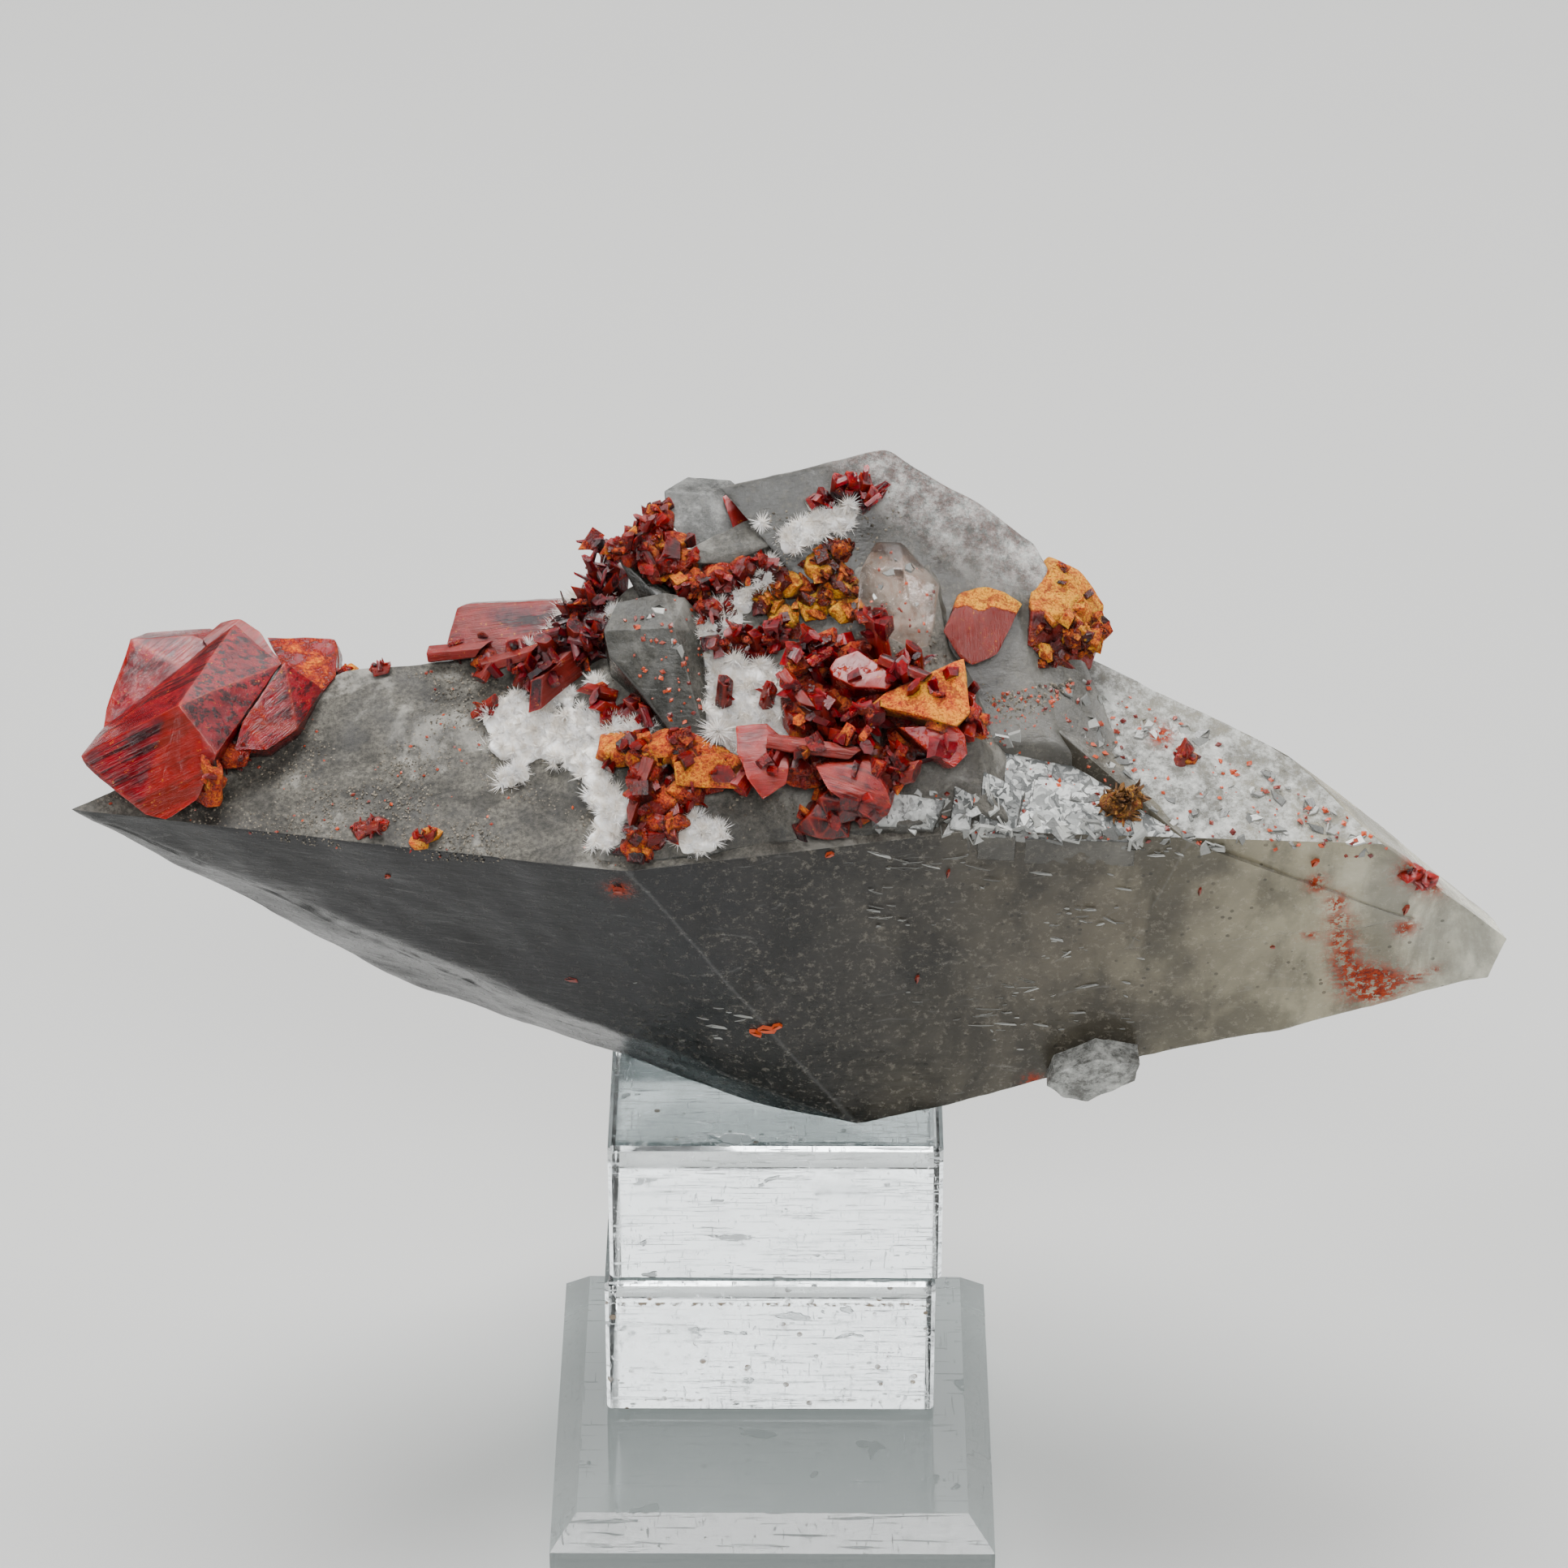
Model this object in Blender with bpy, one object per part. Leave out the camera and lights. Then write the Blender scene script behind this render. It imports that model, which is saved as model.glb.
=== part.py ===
"""Realgar specimen: red realgar crystals and white needle crusts grown on a
two-ended smoky quartz crystal, which rests on a stack of clear acrylic blocks.

Frame: origin at the middle of the base plate's underside, +X to the right of
the front view, +Y away from the viewer, +Z up. Shapes are worked out in
millimetres and put into the meshes in metres.
"""
import math
import random

import bmesh
import bpy
from mathutils import Matrix, Vector

MM = 0.001
GAP = 0.3                 # left between touching pieces of different nodes, mm

# Stand, mm
PLATE_SIDE = 40.0
PLATE_HEIGHT = 10.0
PLATE_BEVEL_IN = 2.4
PLATE_BEVEL_DROP = 2.7
BLOCK_SIDE = 30.0
BLOCK_HEIGHT = 14.7
BLOCK_BACK = 11.6         # the blocks' middle lies this far behind the plate's
UPPER_SHIFT = 0.2
LOWER_SHIFT = -0.3
BLOCK_EDGE = 0.35
SEAT = PLATE_HEIGHT + 2 * BLOCK_HEIGHT + 3 * GAP     # height of the quartz's resting facet

# Eye of the front view. A crystal's corner is named by where the eye sees it.
EYE = Vector((2.62, -401.9, 325.5))
EYE_DOWN = math.radians(31.82)
EYE_TURN = -0.0042
EYE_ROLL = -0.0004
EYE_SCALE = 6764.0        # steps across one unit of slope
EYE_MIDDLE = 966.0

CREST_BACK = 11.3         # depth behind the skyline, where no big crystal is seen
CREST_ROW = 760
CREST_LEAN = 0.075

# Main crystal's corners, mm
LEFT_TIP = Vector((-60.8, 0.0, 73.3))
FRONT_KNEE = Vector((-12.5, -10.0, 73.5))
RIDGE_END = Vector((58.3, -3.0, 66.9))
FOOT = Vector((7.4, -0.4, SEAT))
FOOT_LEFT = Vector((-3.9, 2.6, SEAT))
FOOT_BACK = Vector((4.0, 22.0, SEAT))
BELLY = Vector((-34.0, 8.0, 50.6))
TIP_LOW = Vector((62.8, 0.5, 56.3))
TIP = Vector((64.1, 0.0, 60.9))
TIP_TOP = Vector((60.3, 3.0, 63.5))
TIP_SIDE_LOW = Vector((62, 8, 58))
TIP_SIDE_HIGH = Vector((60, 9, 62))
CREST_LEFT = Vector((-37.6, 11.7, 80.3))
CREST_MIDDLE = Vector((-31, 12, 81))
CREST_RIGHT = Vector((-24.4, 12.4, 81.8))
REAR_LEFT_HIGH = Vector((-25, 26, 62))
REAR_LEFT_LOW = Vector((-24, 28, 58))
BACK_SIDE = Vector((0, 34, 62))
REAR_RIDGE = Vector((2.0, 36.0, 64.0))
TERRACE_FRONT = Vector((12.0, -10.5, 76.6))
TERRACE_KINK = Vector((37.1, -9.0, 73.7))
TERRACE_BACK = Vector((22.0, 0.0, 79.9))
RIM_BACK = Vector((27.8, 11.0, 79.9))
CORE = Vector((4.0, 12.0, 62.0))

# Shoulder: the raised right top face with the crack along its left side
CRACK_TOP = Vector((21.6, 1.5, 80.2))
CRACK_LOW = Vector((36.5, -7.5, 74.0))
RIM_LEFT = Vector((27.8, 11.0, 81.1))
RIM_MIDDLE = Vector((43.0, 8.6, 74.3))
RIM_RIGHT = Vector((58.4, 5.0, 63.4))
RIM_SLOPE = Vector((1.0, 4.0, -6.0))
SHOULDER_UNDER = Vector((50, -3, 63.5))
SHOULDER_BOTTOM = 58.0
SHOULDER_CORE = Vector((40.0, 8.0, 66.0))

GROWTH_STEP = 0.25        # low ledge where the shoulder's front meets the main face

# Upper crystal
APEX = Vector((9.7, 14.0, 101.4))
UPPER_LEFT = Vector((-3.9, 14.0, 97.2))
UPPER_RIGHT = Vector((24.0, 14.0, 90.4))
UPPER_BACK_LEFT = Vector((2, 26, 90))
UPPER_BACK_RIGHT = Vector((22, 30, 80))
UPPER_CORE = Vector((12.0, 15.0, 90.0))

# Mound: the ground that slopes up to the upper crystal
MOUND_LOW_LEFT = Vector((-14, -7, 75.5))
MOUND_LOW_RIGHT = Vector((14, -7.5, 78))
MOUND_TOP = Vector((0, 9, 93))
MOUND_TOP_LEFT = Vector((-8, 12, 92))
MOUND_TOP_RIGHT = Vector((8, 12, 95))
MOUND_FOOT_LEFT = Vector((-24, 10, 80.5))
MOUND_FOOT_REAR = Vector((-24, 12, 80.5))
MOUND_REAR = Vector((0, 26, 84))
MOUND_REAR_LEFT = Vector((-5, 30, 76))
MOUND_CORE = Vector((0, 8, 80))

# Cross-sections of the small crystals, as shares of width and thickness
SIX_RING = [(0.5, 0), (0.27, 0.5), (-0.27, 0.5), (-0.5, 0), (-0.27, -0.5), (0.27, -0.5)]
SQUARE_RING = [(0.5, 0.5), (-0.5, 0.5), (-0.5, -0.5), (0.5, -0.5)]
SLIM = 1.25               # mm; narrower crystals are square
END_TAPER = 0.92          # an end face's size as a share of the foot's
KNOB_LOW = 0.8            # a knob's corners stand out unevenly, as shares of its radius
KNOB_HIGH = 1.15

# Meshing, mm
ROUGH_BLOCK = 400.0       # side of the block that every crystal is cut from
WELD = 0.004              # corners nearer than this are one
SAME_PLANE = 0.02


def clear_scene():
    """Remove whatever the file holds."""
    for old in list(bpy.data.objects):
        bpy.data.objects.remove(old, do_unlink=True)


def eye_axes():
    """Right, up and forward directions of the front view."""
    forward = Vector((math.sin(EYE_TURN) * math.cos(EYE_DOWN),
                      math.cos(EYE_TURN) * math.cos(EYE_DOWN), -math.sin(EYE_DOWN)))
    right = Vector((math.cos(EYE_TURN), -math.sin(EYE_TURN), 0.0))
    up = right.cross(forward)
    roll = Matrix.Rotation(EYE_ROLL, 3, forward)
    return roll @ right, roll @ up, forward


EYE_RIGHT, EYE_UP, EYE_FORWARD = eye_axes()


def ray(px, py):
    """Direction of the sight line through (px, py), one unit long along +Y."""
    across, down = (px - EYE_MIDDLE) / EYE_SCALE, (py - EYE_MIDDLE) / EYE_SCALE
    line = EYE_FORWARD + EYE_RIGHT * across - EYE_UP * down
    return line / line.y


def at(px, py, back):
    """Point seen at (px, py) that lies `back` mm behind the plate's middle."""
    line = ray(px, py)
    return EYE + line * (back - EYE.y)


def face(p, q, r, inside):
    """Plane through three corners, its normal pointing away from `inside`."""
    normal = (q - p).cross(r - p).normalized()
    if normal.dot(inside - p) > 0:
        normal = -normal
    return normal, normal.dot(p)


def facing(normal, point):
    """Plane through a point with the given outward direction."""
    normal = Vector(normal).normalized()
    return normal, normal.dot(Vector(point))


def below(point, drop=5.0):
    """Point straight under another one."""
    return point - Vector((0, 0, drop))


def moved(plane, step):
    """The same plane, `step` mm further out."""
    return plane[0], plane[1] + step


def cleave(planes, grow=0.0):
    """Closed convex bmesh left when a big block is cut by every plane."""
    shape = bmesh.new()
    bmesh.ops.create_cube(shape, size=ROUGH_BLOCK)
    for normal, offset in planes:
        cut = bmesh.ops.bisect_plane(
            shape, geom=shape.verts[:] + shape.edges[:] + shape.faces[:], dist=1e-4,
            plane_co=normal * (offset + grow), plane_no=normal, clear_outer=True)
        edges = [item for item in cut["geom_cut"] if isinstance(item, bmesh.types.BMEdge)]
        open_edges = [edge for edge in edges if len(edge.link_faces) < 2]
        if open_edges:
            bmesh.ops.edgeloop_fill(shape, edges=open_edges)
    bmesh.ops.remove_doubles(shape, verts=shape.verts, dist=0.01)
    bmesh.ops.recalc_face_normals(shape, faces=shape.faces)
    return shape


def hull(corners):
    """Planes of the convex body that spans the corners."""
    shape = bmesh.new()
    for corner in corners:
        shape.verts.new(corner)
    made = bmesh.ops.convex_hull(shape, input=shape.verts)
    loose = [v for v in made["geom_interior"] + made["geom_unused"] if isinstance(v, bmesh.types.BMVert)]
    bmesh.ops.delete(shape, geom=list(set(loose)), context="VERTS")
    bmesh.ops.recalc_face_normals(shape, faces=shape.faces)
    middle = sum((v.co for v in shape.verts), Vector()) / len(shape.verts)
    planes = []
    for piece in shape.faces:
        if piece.calc_area() < 1e-3:
            continue
        normal = piece.normal.copy()
        offset = normal.dot(piece.verts[0].co)
        if normal.dot(middle) > offset:
            normal, offset = -normal, -offset
        if all((normal - n).length > SAME_PLANE or abs(offset - o) > SAME_PLANE for n, o in planes):
            planes.append((normal, offset))
    shape.free()
    return planes


def main_crystal():
    """The double-ended crystal, without its raised right shoulder."""
    top_left = face(LEFT_TIP, FRONT_KNEE, CREST_MIDDLE, CORE)
    return [
        face(LEFT_TIP, FRONT_KNEE, FOOT, CORE),
        face(FRONT_KNEE, RIDGE_END, FOOT, CORE),
        top_left,
        face(TERRACE_FRONT, TERRACE_KINK, TERRACE_BACK, CORE),
        face(LEFT_TIP, FOOT, BELLY, CORE),
        facing((0, 0, -1), (0, 0, SEAT)),
        face(CREST_LEFT, LEFT_TIP, REAR_LEFT_HIGH, CORE),
        face(CREST_LEFT, CREST_RIGHT, REAR_RIDGE, CORE),
        face(TIP_TOP, RIM_BACK, REAR_RIDGE, CORE),
        face(LEFT_TIP, BELLY, REAR_LEFT_LOW, CORE),
        face(BELLY, FOOT_LEFT, FOOT_BACK, CORE),
        face(TIP_LOW, FOOT_BACK, REAR_RIDGE, CORE),
        facing((0, 1, -0.1), BACK_SIDE),
    ] + right_end()


def right_end():
    """Faces that close the right tip."""
    return [
        face(TIP, TIP_LOW, TIP_SIDE_LOW, CORE),
        face(TIP_TOP, TIP, TIP_SIDE_HIGH, CORE),
        face(FOOT, TIP_LOW, FOOT_BACK, CORE),
    ]


def shoulder():
    """Raised right part, cracked away from the terrace along its left side."""
    return [
        face(RIM_LEFT, RIM_RIGHT, CRACK_LOW, SHOULDER_CORE),
        face(CRACK_TOP, CRACK_LOW, below(CRACK_TOP), SHOULDER_CORE),
        moved(face(FRONT_KNEE, RIDGE_END, FOOT, CORE), GROWTH_STEP),
        face(RIM_LEFT, RIM_MIDDLE, RIM_MIDDLE + RIM_SLOPE, SHOULDER_CORE),
        face(RIM_MIDDLE, RIM_RIGHT, RIM_RIGHT + RIM_SLOPE, SHOULDER_CORE),
        face(RIM_LEFT, CRACK_TOP, below(RIM_LEFT), SHOULDER_CORE),
        moved(face(TIP_TOP, RIM_BACK, REAR_RIDGE, CORE), 0.6),
        moved(face(TIP_LOW, FOOT_BACK, REAR_RIDGE, CORE), -1.5),
        facing((0.1, -0.4, -0.9), SHOULDER_UNDER),
        facing((0, 0, -1), (0, 0, SHOULDER_BOTTOM)),
    ] + right_end()


def upper_crystal():
    """Crystal that stands behind the clusters, its tip the highest point."""
    return [
        face(APEX, UPPER_LEFT, UPPER_BACK_LEFT, UPPER_CORE),
        face(APEX, UPPER_RIGHT, UPPER_BACK_RIGHT, UPPER_CORE),
        facing((0.02, -0.80, 0.60), APEX),
        facing((0.45, -0.62, 0.64), at(1200, 660, 9)),
        facing((-0.75, -0.20, -0.62), UPPER_LEFT),
        facing((0, 0.97, 0.25), (0, 26.5, 76)),
        facing((0.62, 0.76, 0.20), (25, 15, 84)),
        facing((0.10, 0.70, -0.70), (14, 26, 67)),
        facing((0, -1, 0), (0, -1.0, 0)),
        facing((-0.8, 0.6, 0), (-7, 18, 0)),
        facing((0, 0, -1), (0, 0, 62)),
        facing((0.9, 0.25, 0.3), (28, 10, 78)),
    ]


def mound():
    """Sloping ground between the main and the upper crystal."""
    return [
        face(MOUND_LOW_LEFT, MOUND_LOW_RIGHT, MOUND_TOP, MOUND_CORE),
        face(MOUND_FOOT_LEFT, MOUND_LOW_LEFT, MOUND_TOP_LEFT, MOUND_CORE),
        face(MOUND_TOP_LEFT, MOUND_TOP_RIGHT, MOUND_REAR, MOUND_CORE),
        face(MOUND_FOOT_REAR, MOUND_TOP_LEFT, MOUND_REAR_LEFT, MOUND_CORE),
        face(APEX, UPPER_RIGHT, UPPER_BACK_RIGHT, UPPER_CORE),
        facing((0.8, -0.2, 0.5), (19, 2, 82)),
        moved(face(LEFT_TIP, FRONT_KNEE, FOOT, CORE), -1.0),
        moved(face(FRONT_KNEE, RIDGE_END, FOOT, CORE), -1.0),
        facing((0, 0, -1), (0, 0, 70)),
        facing((0, 0.9, 0.3), (0, 19, 82)),
    ]


QUARTZ = [main_crystal(), shoulder(), upper_crystal(), mound()]


def seen(px, py, lift=0.0):
    """Point on the big crystals' surface seen at (px, py), `lift` mm nearer the eye."""
    line = ray(px, py).normalized()
    nearest = None
    for planes in QUARTZ:
        enter, leave = -1e9, 1e9
        for normal, offset in planes:
            slope = normal.dot(line)
            reach = offset - normal.dot(EYE)
            if abs(slope) < 1e-9:
                leave = leave if reach >= 0 else -1e9
            elif slope < 0:
                enter = max(enter, reach / slope)
            else:
                leave = min(leave, reach / slope)
        if enter < leave and (nearest is None or enter < nearest):
            nearest = enter
    if nearest is None:
        return at(px, py, CREST_BACK + (CREST_ROW - py) * CREST_LEAN) - line * lift
    return EYE + line * (nearest - lift)


def corners_at(rows):
    """Points at given depths, one for each (px, py, back)."""
    return [at(*row) for row in rows]


def corners_on(rows):
    """Points over the big crystals, one for each (px, py, lift)."""
    return [seen(*row) for row in rows]


def shifted(points, step):
    """The same points, all moved by one step."""
    return [point + Vector(step) for point in points]


def stone_block(corners, sunk=(0, 3, -4)):
    """Thick block: seen corners and the same corners sunk into the ground."""
    return hull(list(corners) + shifted(corners, sunk))


def small_quartz():
    """Short crystals, chips and ledges that are one with the big crystals."""
    step = corners_at([(1188, 818, 5), (1262, 812, 6), (1330, 822, 8), (1190, 840, 3.4), (1255, 845, 3.2),
                       (1322, 832, 5)])
    slab = corners_at([(838, 680, 10), (925, 640, 12), (968, 640, 12), (900, 694, 8.6), (970, 662, 9.2),
                       (850, 694, 9)])
    blade = corners_at([(818, 605, 15), (872, 609, 15), (902, 638, 13.5), (905, 656, 12.5), (850, 675, 11.5),
                        (832, 652, 12.5), (820, 632, 14)])
    blade_root = at(880, 690, 14)
    smoky = corners_at([(744, 777, 3), (830, 773, 1.8), (750, 808, 1.8), (793, 856, -0.4), (825, 900, -2.0),
                        (871, 914, -2.6), (760, 742, 6), (818, 730, 6.2), (844, 735, 6.4), (862, 757, 5.8),
                        (867, 776, 4.6)])
    fin = corners_at([(757, 681, 11), (764, 684, 11.5), (782, 707, 9.5), (822, 731, 7), (818, 742, 6),
                      (786, 730, 8)])
    fin_root = at(800, 760, 8)
    clear = corners_at([(1079, 669, 7.2), (1110, 668, 7.4), (1156, 720, 4.6), (1153, 758, 3.0),
                        (1143, 796, 1.2), (1124, 800, 0.8), (1056, 766, 1.4), (1059, 703, 4.4),
                        (1112, 700, 3.4), (1120, 740, 1.6)])
    flake = corners_at([(1290, 1338, -2.6), (1300, 1322, -3.4), (1352, 1306, -4.2), (1404, 1312, -3.4),
                        (1398, 1332, -2.6), (1340, 1357, -2.2), (1310, 1352, -2.4)])
    ledges = [
        [(1074, 1019, 0.3), (1150, 1024, 0.3), (1166, 985, 0.5), (1100, 976, 0.6)],
        [(1205, 1029, 0.3), (1250, 1032, 0.3), (1264, 975, 0.9), (1212, 950, 0.6)],
        [(1264, 1034, 0.3), (1400, 1039, 0.3), (1330, 992, 0.8), (1276, 962, 0.9)],
        [(1170, 1022, 0.2), (1196, 1026, 0.2), (1200, 980, 0.4), (1176, 968, 0.5)],
    ]
    chips = [stone_block(corners_on(ledge), (0, 1.0, -3.0)) for ledge in ledges]
    return chips + [
        stone_block(step, (0, 3, -7)),
        stone_block(slab, (1, 6, -8)),
        hull(blade + shifted(blade, (2, 3.5, -0.5)) + [blade_root]),
        stone_block(smoky, (0, 5, -6)),
        hull(fin + shifted(fin, (0.8, 2.5, -1)) + [fin_root]),
        stone_block(clear, (0.5, 5, -3)),
        stone_block(flake, (0, 3, 0.3)),
    ]


def prism(foot, tip, width, thick, roll=0.0, slant=0.25, sides=6):
    """Short striated crystal from foot to tip with a slanting end face.

    `width` is what the eye sees at roll 0; `slant` leans the end face. A slim
    crystal is square.
    """
    axis = tip - foot
    length = axis.length
    axis.normalize()
    toward = (EYE - foot).normalized()
    across = axis.cross(toward).normalized()
    depth = across.cross(axis)
    turn = Matrix.Rotation(math.radians(roll), 3, axis)
    across, depth = turn @ across, turn @ depth
    ring = SQUARE_RING if sides == 4 or width < SLIM else SIX_RING
    corners = []
    for a, b in ring:
        rim = across * (a * width) + depth * (b * thick)
        corners.append(foot + rim)
        corners.append(foot + axis * length * (1 - slant * (a + 0.5 * b)) + rim * END_TAPER)
    return hull(corners)


def lump(centre, radius, flat=0.7, seed=0):
    """Knobbly closed lump: a twelve-cornered ball, flattened along Z, its corners uneven."""
    chance = random.Random(seed)
    shape = bmesh.new()
    bmesh.ops.create_icosphere(shape, subdivisions=1, radius=1.0)
    points = []
    for vert in shape.verts:
        size = radius * chance.uniform(KNOB_LOW, KNOB_HIGH)
        points.append(centre + Vector((vert.co.x, vert.co.y, vert.co.z * flat)) * size)
    shape.free()
    return hull(points)


def columns(rows):
    """Prisms given by foot and tip over the big crystals, then width, thickness, roll, slant, sides."""
    return [prism(seen(*foot), seen(*tip), *rest) for foot, tip, *rest in rows]


def lumps(rows):
    """Lumps given by their place over the big crystals, then radius, flatness and seed."""
    return [lump(seen(*place), radius, flat, seed) for place, radius, flat, seed in rows]


def notches():
    """Small hollows broken out of the big crystals' edges."""
    pit = corners_at([(302, 1024, -1.5), (324, 1022, -1.5), (328, 1042, -3.2), (312, 1050, -3.6),
                      (300, 1040, -3.4)])
    pit_floor = at(313, 1034, 0.2)
    edge_nick = corners_at([(590, 1236, 1), (622, 1262, 1), (640, 1252, 1)])
    return [hull(pit + shifted(pit, (0, -3, 1.5)) + [pit_floor]), stone_block(edge_nick, (0, 12, 0))]


def left_group():
    """Big glassy crystals on the left tip."""
    tall = corners_at([(98, 931, 0.6), (105, 945, 0.2), (172, 897, 0.6), (219, 869, 0.8), (267, 929, -1.6),
                       (243, 986, -3.4), (204, 1010, -3.9), (179, 1004, -3.4), (127, 897, 5.2),
                       (264, 800, 11), (289, 768, 13.5), (346, 818, 9), (300, 888, 4), (204, 990, 3),
                       (150, 930, 9), (300, 860, 16)])
    plate = corners_at([(160, 787, 13), (237, 782, 13.4), (264, 793, 12.6), (228, 822, 10), (127, 899, 5.6),
                        (130, 874, 7.4), (142, 839, 9.6)])
    wedge = corners_at([(249, 787, 12.6), (272, 767, 14.4), (290, 762, 14.6), (297, 762, 14.4),
                        (319, 777, 13), (347, 818, 9.6), (300, 860, 6)])
    prow = corners_at([(351, 816, 8.6), (299, 888, 2.6), (289, 924, 0.8), (329, 924, 1.2), (366, 899, 3.6),
                       (398, 849, 8.8), (391, 845, 9.0)])
    rear = corners_at([(329, 785, 15), (376, 785, 15.4), (379, 792, 14.6), (413, 787, 15), (417, 798, 14.4),
                       (413, 834, 10.8), (398, 852, 9.2), (352, 830, 10)])
    side = corners_at([(408, 832, 12), (420, 838, 11), (437, 836, 11), (443, 822, 12.4), (432, 815, 13.5),
                       (415, 845, 13), (440, 845, 14)])
    stub_foot, stub_tip = corners_at([(258, 985, -1.4), (262, 940, -1.8)])
    middle_knob, front_knob = corners_at([(285, 930, 1.4), (262, 965, -0.8)])
    return [
        hull(tall),
        stone_block(plate, (1.2, 3.2, -1.2)),
        stone_block(wedge, (0, 3.5, -3.5)),
        stone_block(prow, (0, 3.5, -3)),
        stone_block(rear, (0, 3.4, -3)),
        prism(stub_foot, stub_tip, 2.4, 2.4, 20),
        lump(middle_knob, 1.9, 0.7, 3),
        lump(front_knob, 1.5, 0.7, 4),
        hull(side),
    ]


def back_group():
    """Long grooved crystal lying along the crest, with two short ones before it."""
    long_face = corners_at([(549, 798, 12.6), (563, 749, 15.4), (575, 744, 15.8), (713, 738, 15.6),
                            (717, 762, 14), (655, 801, 11.4), (599, 812, 11.2)])
    short_ones = [
        ((530, 806, 12.0), (597, 800, 11.2), 1.6, 2.2, 15),
        ((594, 822, 9.6), (660, 803, 9.4), 1.5, 1.8, 10),
        ((590, 838, 8.4), (604, 816, 9.6), 1.4, 1.8, 25),
    ]
    left_knob, right_knob = corners_at([(600, 812, 11.0), (640, 804, 10.8)])
    bodies = [stone_block(long_face, (0, 5.5, -3))]
    bodies += [prism(at(*foot), at(*tip), *rest) for foot, tip, *rest in short_ones]
    return bodies + [lump(left_knob, 1.6, 0.8, 9), lump(right_knob, 1.7, 0.8, 10)]


def spiky_group():
    """Dark crystals that stand out in all directions, left of the smoky prism."""
    knobs = [
        ((740, 760, -0.6), 3.0, 0.8, 11), ((700, 790, -0.4), 2.6, 0.8, 12), ((668, 815, -0.4), 2.2, 0.7, 13),
        ((748, 715, -0.8), 2.4, 0.8, 14), ((712, 806, 0.0), 2.4, 0.8, 15), ((726, 775, 0.4), 2.4, 0.8, 16),
    ]
    spikes = [
        ((738, 735, 0.0), (732, 697, 3.2), 1.5, 1.3, 20), ((732, 748, 0.0), (758, 716, 3.8), 1.0, 1.1, 0),
        ((735, 760, 0.0), (714, 724, 3.2), 1.0, 1.2, 40), ((732, 765, 0.0), (727, 726, 4.2), 0.9, 1.0, 10),
        ((720, 775, 0.3), (694, 744, 2.8), 1.1, 1.0, 30), ((722, 760, 0.5), (704, 742, 3.4), 0.9, 0.8, 60),
        ((750, 720, 0.4), (756, 692, 3.0), 1.2, 1.2, 30), ((712, 804, 0.4), (710, 771, 3.8), 2.0, 1.7, 15),
        ((690, 812, 0.4), (668, 786, 3.4), 1.6, 1.4, 25), ((728, 800, 0.0), (738, 772, 2.8), 1.0, 1.0, 45),
        ((724, 812, 0.0), (722, 788, 3.4), 1.0, 1.0, 20), ((640, 842, 0.4), (655, 816, 3.0), 1.2, 1.2, 10),
        ((708, 815, 1.4), (660, 856, 4.0), 2.6, 1.0, -30, 0.35, 4),
        ((700, 825, 0.4), (676, 812, 3.2), 1.2, 1.2, 50), ((750, 690, 0.2), (738, 664, 2.6), 1.0, 1.0, 15),
    ]
    return lumps(knobs) + columns(spikes)


def left_chips():
    """Single sharp crystals on the white crust left of the smoky prism."""
    crystals = [
        ((760, 858, 0.2), (717, 846, 3.0), 1.3, 1.2, 30), ((765, 882, 0.0), (735, 868, 2.8), 1.2, 1.1, 10),
        ((790, 880, 0.0), (778, 862, 2.6), 1.1, 1.1, 25), ((800, 893, 0.0), (795, 868, 2.2), 1.0, 1.0, 55),
    ]
    knobs = [
        ((778, 878, -0.8), 2.4, 0.6, 17), ((750, 868, -0.8), 2.3, 0.7, 18), ((790, 884, -0.6), 1.8, 0.7, 19),
    ]
    return columns(crystals) + lumps(knobs)


def orange_ridge():
    """Crumbly orange-red ridge between the smoky prism and the pale blade."""
    knobs = [(812, 640, 1.7), (803, 662, 2.0), (822, 672, 2.1), (782, 676, 1.9), (835, 697, 2.0),
             (812, 700, 1.9), (849, 722, 1.5), (764, 674, 1.3)]
    top_row, top_back, lean = 640, 13.2, 0.065
    stubs = [
        ((808, 655, 12.0), (800, 640, 11.2), 1.0, 1.0, 20),
        ((790, 680, 10.2), (779, 664, 9.6), 1.2, 1.2, 35),
    ]
    bodies = [lump(at(px, py, top_back - (py - top_row) * lean), size, 0.8, 20 + number)
              for number, (px, py, size) in enumerate(knobs)]
    return bodies + [prism(at(*foot), at(*tip), *rest) for foot, tip, *rest in stubs]


def red_band():
    """Dark red crystals and orange plates right of the orange ridge."""
    knobs = [
        ((868, 728, -0.2), 2.2, 0.8, 31), ((890, 716, -0.2), 2.2, 0.8, 32), ((915, 708, -0.2), 2.1, 0.8, 33),
        ((878, 750, -0.3), 2.2, 0.8, 34),
    ]
    crystals = [
        ((872, 735, 0.3), (864, 712, 2.6), 1.2, 1.2, 20), ((895, 728, 0.3), (888, 704, 2.4), 1.3, 1.0, 40),
        ((918, 718, 0.3), (926, 694, 2.4), 1.5, 1.2, 10), ((935, 706, 0.2), (941, 690, 2.2), 1.2, 1.2, 25),
        ((878, 762, 0.2), (869, 744, 2.4), 1.1, 1.1, 50),
    ]
    return lumps(knobs) + columns(crystals)


def patch_group():
    """Crumbly yellow-orange patch high in the middle."""
    places = [(945, 738, 2.1), (975, 718, 2.2), (1010, 698, 2.2), (1036, 722, 2.1), (1002, 742, 2.3),
              (966, 762, 2.0), (1044, 750, 1.9), (1030, 676, 1.6)]
    return [lump(seen(px, py, -0.3), size, 0.7, 40 + number)
            for number, (px, py, size) in enumerate(places)]


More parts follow.
